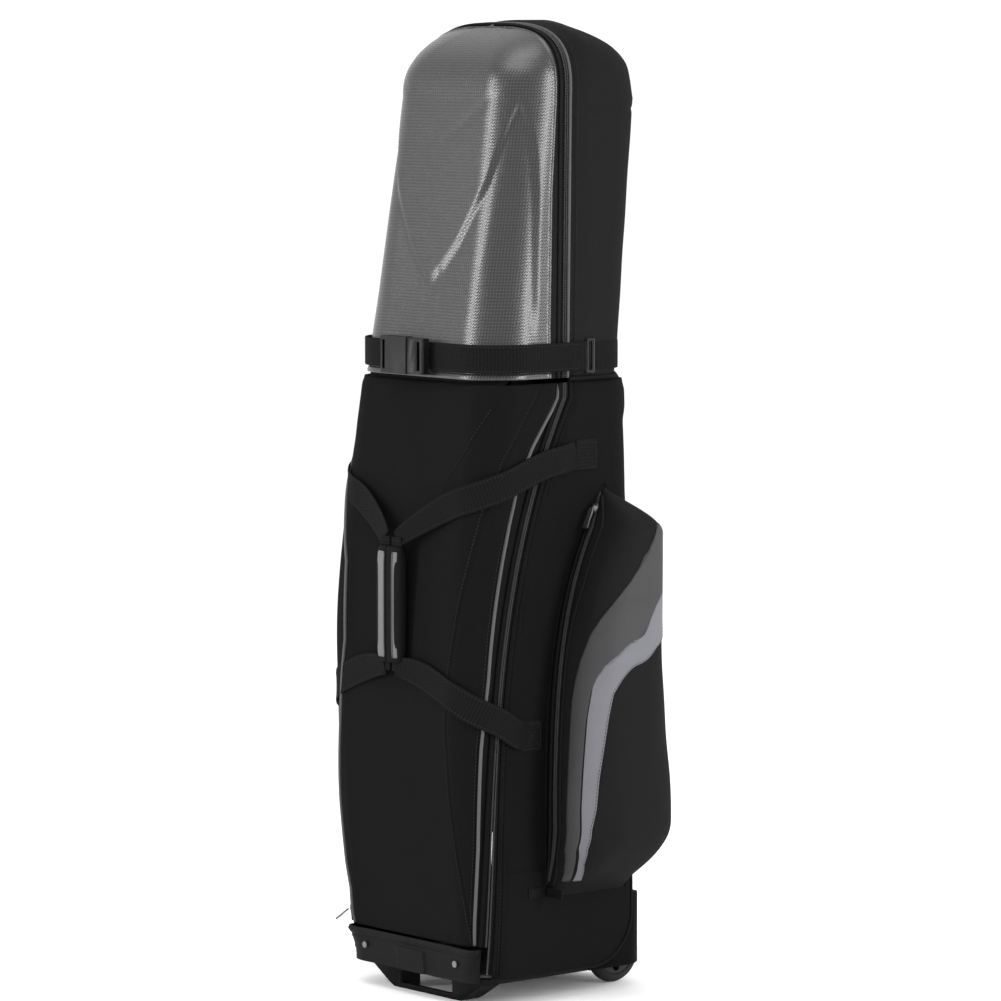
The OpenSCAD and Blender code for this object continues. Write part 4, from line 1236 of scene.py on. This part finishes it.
for side, name, x_from in ((RIGHT, "right", 26.0), (LEFT, "left", 50.0)):
    path = front_run(side, x_from)
    outward = np.column_stack([path[:, 0] * 0.8, path[:, 1], np.zeros(len(path))])
    strap = sweep(name + "_waist_strap", path, outward, ribbon_section(WEB, WEB_T))
    place(strap, webbing, "shell", ["front_strap_" + name])
    for edge, step in (("low", -16), ("high", 16)):
        row = path[6:-4] + (0, 0, step) + unit(outward[6:-4]) * (WEB_T / 2)
        sewn(name + "_strap_edge_" + edge, row, outward[6:-4], "shell")
rear, _ = resampled(rear_line(STRAP_Z, 0.4 + WEB_T / 2), np.linspace(0, 1, 80))
rear = rear[rear[:, 1] > HOOK_Y + 12]
rear = np.vstack([[top_w(STRAP_Z) + 2.0, HOOK_Y + 9], rear])
rear = np.vstack([rear, rear[-2::-1] * (-1, 1)])
path = np.column_stack([rear, np.full(len(rear), STRAP_Z)])
outward = np.column_stack([rear[:, 0] * 0.8, rear[:, 1] - 20, np.zeros(len(rear))])
strap = sweep("rear_waist_strap", path, outward, ribbon_section(WEB, WEB_T))
place(strap, webbing, "case", ["rear_strap"])
print("waist strap is", round(WEB), "mm wide")

# %% [markdown]
# ## Haul loops and padded grip
# Two loops of webbing hang from sewn anchors on the sides. Each runs forward and round the corner to the
# grip in front, narrows as it gathers there, and comes back below. The grip is two padded halves that
# close round the webbing; it is stuffed, so it swells between its bound edges.

# %% Haul loops
GRIP_LOW = 456.0
GRIP_HIGH = 612.0
GRIP_Y = -172.0
UPPER_RUN = [(286, 732, 1.8), (262, 728, 6), (226, 721, 7), (180, 704, 6.5), (136, 686, 6.5), (90, 668, 8),
             (47, 650, 13), (22, 636, 17)]
LOWER_RUN = [(227, 362, 1.8), (210, 366, 6), (183, 382, 7), (146, 402, 6.5), (109, 424, 6.5), (60, 444, 8),
             (26, 456, 12), (14, 464, 14)]


def haul_run(name, run, side, end_z, body):
    line = curve_through(run, 70)
    path = np.array([body_pt(s, z, d) for s, z, d in line])
    outward = np.array([body_out(s, z) for s, z, _ in line])
    k = np.linspace(0, 1, len(path))
    join = ease((k - 0.72) / 0.28)[:, None]
    goal = np.array([12.0, GRIP_Y - 1, end_z])
    path = path * (1 - join * 0.9) + goal * join * 0.9
    width = np.column_stack([lerp(1.0, 0.62, ease((k - 0.72) / 0.28)), np.ones(len(k))])
    web = sweep(name, path * (side, 1, 1), outward * (side, 1, 1), ribbon_section(WEB, WEB_T), width)
    place(web, webbing, body)
    along = unit(np.gradient(path, axis=0))
    across = np.cross(along, unit(outward))
    for edge, step in (("_edge_low", -15.5), ("_edge_high", 15.5)):
        row = path + across * (step * width[:, :1]) + unit(outward) * (WEB_T / 2)
        sewn(name + edge, (row * (side, 1, 1))[4:-6], (outward * (side, 1, 1))[4:-6], body)
    return web


def grip_half(name, side, body):
    rows = []
    for z in np.linspace(GRIP_LOW, GRIP_HIGH, 60):
        t = (z - GRIP_LOW) / (GRIP_HIGH - GRIP_LOW)
        swell = (1 - abs(2 * t - 1) ** 6) ** 0.5
        row = []
        for q in np.linspace(90, -90, 30):
            c, s = math.cos(math.radians(q)), math.sin(math.radians(q))
            row.append((0.5 + 26.5 * c ** 0.7 * (0.72 + 0.28 * swell),
                        GRIP_Y - math.copysign(abs(s) ** 0.8, s) * 10.5 * (0.6 + 0.4 * swell), z))
        rows.append(row)
    made = skin(name, sided(rows, side), 7.0)
    place(made, grip_cloth, body)
    return made


for side, name in SIDES:
    body = name + "_loop"
    upper = haul_run(name + "_upper_haul", UPPER_RUN, side, GRIP_HIGH + 8, body)
    haul_run(name + "_lower_haul", LOWER_RUN, side, GRIP_LOW - 8, body)
    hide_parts(name + "_haul_loop")
    half = grip_half(name + "_grip_pad", side, body)
    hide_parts(name + "_grip")
    core = [(12.0 * side, GRIP_Y, z) for z in np.linspace(GRIP_LOW - 12, GRIP_HIGH + 12, 30)]
    place(sweep(name + "_grip_core", core, (0, -1, 0), ribbon_section(20, WEB_T)), webbing, body)
    # On each half a grey strip lies over the face: a painted highlight for the light bar there, wide on the
    # left half and narrow on the right; the thin grey cord along its edge is the wrap's piping
    low, high = (13.5, 21.0) if side == RIGHT else (1.8, 18.8)
    rows = []
    for z in np.linspace(GRIP_LOW + 7, GRIP_HIGH - 7, 50):
        t = abs(2 * (z - GRIP_LOW) / (GRIP_HIGH - GRIP_LOW) - 1)
        short = (1 - max(0.0, t - 0.86) / 0.14) ** 0.5
        middle = (low + high) / 2
        row = []
        for x in np.linspace(middle - (middle - low) * short, middle + (high - middle) * short, 9):
            face = 10.5 * (1 - (x / 27.0) ** 2) ** 0.45
            row.append((x, GRIP_Y - face * (0.6 + 0.4 * (1 - t ** 6) ** 0.5) - 0.9, z))
        rows.append(row)
    place(skin(name + "_painted_grip_highlight", sided(rows, side), 1.6), painted_grip_highlight, body)
    edge = [(row[0][0] * side, row[0][1] - 0.3, row[0][2]) for row in rows]
    place(sweep(name + "_grip_piping", edge, (0, -1, 0), oval(0.9, 0.9, 8)), grey_cord, body)
print("grip is", round(GRIP_HIGH - GRIP_LOW), "mm tall")

# %% [markdown]
# ## Anchor patches
# Where a loop is sewn on, a square of webbing backs it, with a box of stitches and a cross in it.

# %% Anchor patches
def patch(name, side, y, z, replaces=()):
    rows = []
    for v in np.linspace(-21, 21, 14):
        rows.append([(HALF_W + 2.9, y + u, z + v) for u in np.linspace(-19, 19, 14)])
    made = skin(name, sided(rows, side), 1.8)
    place(made, webbing, "case", replaces)
    corners = [(-15, -17), (15, -17), (15, 17), (-15, 17), (-15, -17), (15, 17), (15, -17), (-15, 17)]
    path = np.array([(side * (HALF_W + 3.2), y + a, z + b) for a, b in corners])
    dense = np.concatenate([np.linspace(a, b, 12, endpoint=False) for a, b in zip(path[:-1], path[1:])])
    sewn(name + "_stitches", dense, (side, 0, 0), "case", 3.6, 2.6)


for side, name in SIDES:
    patch(name + "_upper_patch", side, 40, 732, ["anchor_patches"] if side == RIGHT else ())
    patch(name + "_lower_patch", side, -56, 362)
print("four anchor patches")

# %% [markdown]
# ## Base bumper, foot and screws
# The bumper wraps the front of the base and is moulded with a rolled top edge and a shallow step. The
# stand foot below it keeps its CAD shape with every sharp edge rounded, as a moulding needs.

# %% Base bumper
def bumper_lift(z):
    roll = 2.0 * math.exp(-((z - 75) / 3.0) ** 2)
    return 1.6 + roll - 1.2 * math.exp(-((z - 68) / 1.6) ** 2)


rows = []
for z in np.linspace(33, 80, 60):
    edge = zip_s(max(z, 46)) - ZIP_HALF
    flare = 6.0 * math.exp(-((z - 76) / 16) ** 2)
    row = []
    for t in np.linspace(-1, 1, 181):
        s = edge * t
        sides = float(ease((1 - abs(t)) / 0.04))
        plate = 2.2 * float(ease((30 - abs(s)) / 2.0)) * float(ease((66 - z) / 3))
        corner = flare * math.exp(-((abs(s) - 132) / 26) ** 2)
        row.append(body_pt(s, z, (bumper_lift(z) + plate + corner) * sides))
    rows.append(row)
bumper = skin("front_bumper", rows, 3.5)
place(bumper, black_plastic, "case", ["base_bumper"])
for node, bevel in (("foot_stand", 1.8), ("base_tray", 0.8), ("bumper_screws", 0.6), ("tow_handle", 1.2),
                    ("right_wheel_housing", 1.2), ("left_wheel_housing", 1.2)):
    piece = softened(node, bevel)
    finish = {"bumper_screws": dark_metal, "foot_stand": black_plastic, "base_tray": black_plastic,
              "tow_handle": black_plastic}.get(node, guard_plastic)
    kind = "steel" if node == "bumper_screws" else "black_plastic"
    place(piece, finish, "case", [node])
print("bumper rows", len(rows))

# %% [markdown]
# ## Wheels
# In-line skate wheels: a rubber tyre on a spoked hub with a bearing in each face. The CAD shapes are
# round and exact, so they stay and only their edges and finishes are worked on.

# %% Wheels and small hardware
for side in ("right", "left"):
    for part, finish, kind, bevel, body in (("tyre", tyre_rubber, "tyre", 0.6, "_wheel"),
                                            ("hub", hub_plastic, "hub_plastic", 0.6, "_wheel"),
                                            ("bearings", steel, "steel", 0.3, "_wheel")):
        place(softened(side + "_" + part, bevel), finish, side + body, [side + "_" + part])
    place(softened(side + "_axle", 0.5), steel, "case", [side + "_axle"])
    for node in (side + "_pocket_slider", side + "_pocket_pull"):
        place(softened(node, 0.4), dark_metal, node, [node])
for node in ("main_slider", "main_pull"):
    place(softened(node, 0.4), dark_metal, node, [node])
place(softened("strap_hooks", 1.0), buckle_plastic, "case", ["strap_hooks"])
for node, body in (("buckle_socket", "shell"), ("buckle_plug", "plug"), ("buckle_upper_arm", "upper_arm"),
                   ("buckle_lower_arm", "lower_arm")):
    place(softened(node, 0.9), buckle_plastic, body, [node])
print("hardware done")

# %% [markdown]
# ## Inside
# Opened, the case shows a padded lining in the top, a board in the base, a stiffener up the back and two
# straps that hold the golf bag.

# %% Inside
pad_rows = []
for z in np.linspace(TOP_Z + 16, 1286, 70):
    pts, _ = resampled(rear_line(z, -4.8, ZIP_HALF + 2), np.linspace(0, 1, 40))
    sunk = z - 6 * top_t(z)
    right_half = [(x, y, sunk) for x, y in pts]
    pad_rows.append(right_half + [(-x, y, h) for x, y, h in right_half[-2::-1]])
pad_grid = np.array(pad_rows)
across = run_length(pad_grid, 1)
up = run_length(pad_grid, 0)
quilt = np.abs(np.sin((across + up) * math.pi / 60)) * np.abs(np.sin((across - up) * math.pi / 60))
pad = skin("top_lining", pad_grid, 4.0)
inner = np.array([v.co for v in pad.data.vertices])
count = pad_grid.shape[0] * pad_grid.shape[1]
inner[count:] -= (grid_normals(pad_grid).reshape(-1, 3) * (3.5 * np.sqrt(quilt).reshape(-1, 1))) * MM
pad.data.vertices.foreach_set("co", inner.astype(np.float32).ravel())
pad.data.update()
place(pad, lining, "case", ["top_pad"])
for node in ("base_board", "back_stiffener"):
    place(softened(node, 0.8), board, "case", [node])
for index, z in enumerate((300, 620)):
    mid = z + WEB / 2
    path = [(x, body_rear(mid) - 9.2, mid) for x in np.linspace(96, -96, 40)]
    strap = sweep("inner_strap_" + str(index), path, (0, -1, 0), ribbon_section(WEB, WEB_T))
    place(strap, webbing, "case", ["inner_straps"] if index == 0 else ())
print("inside done")
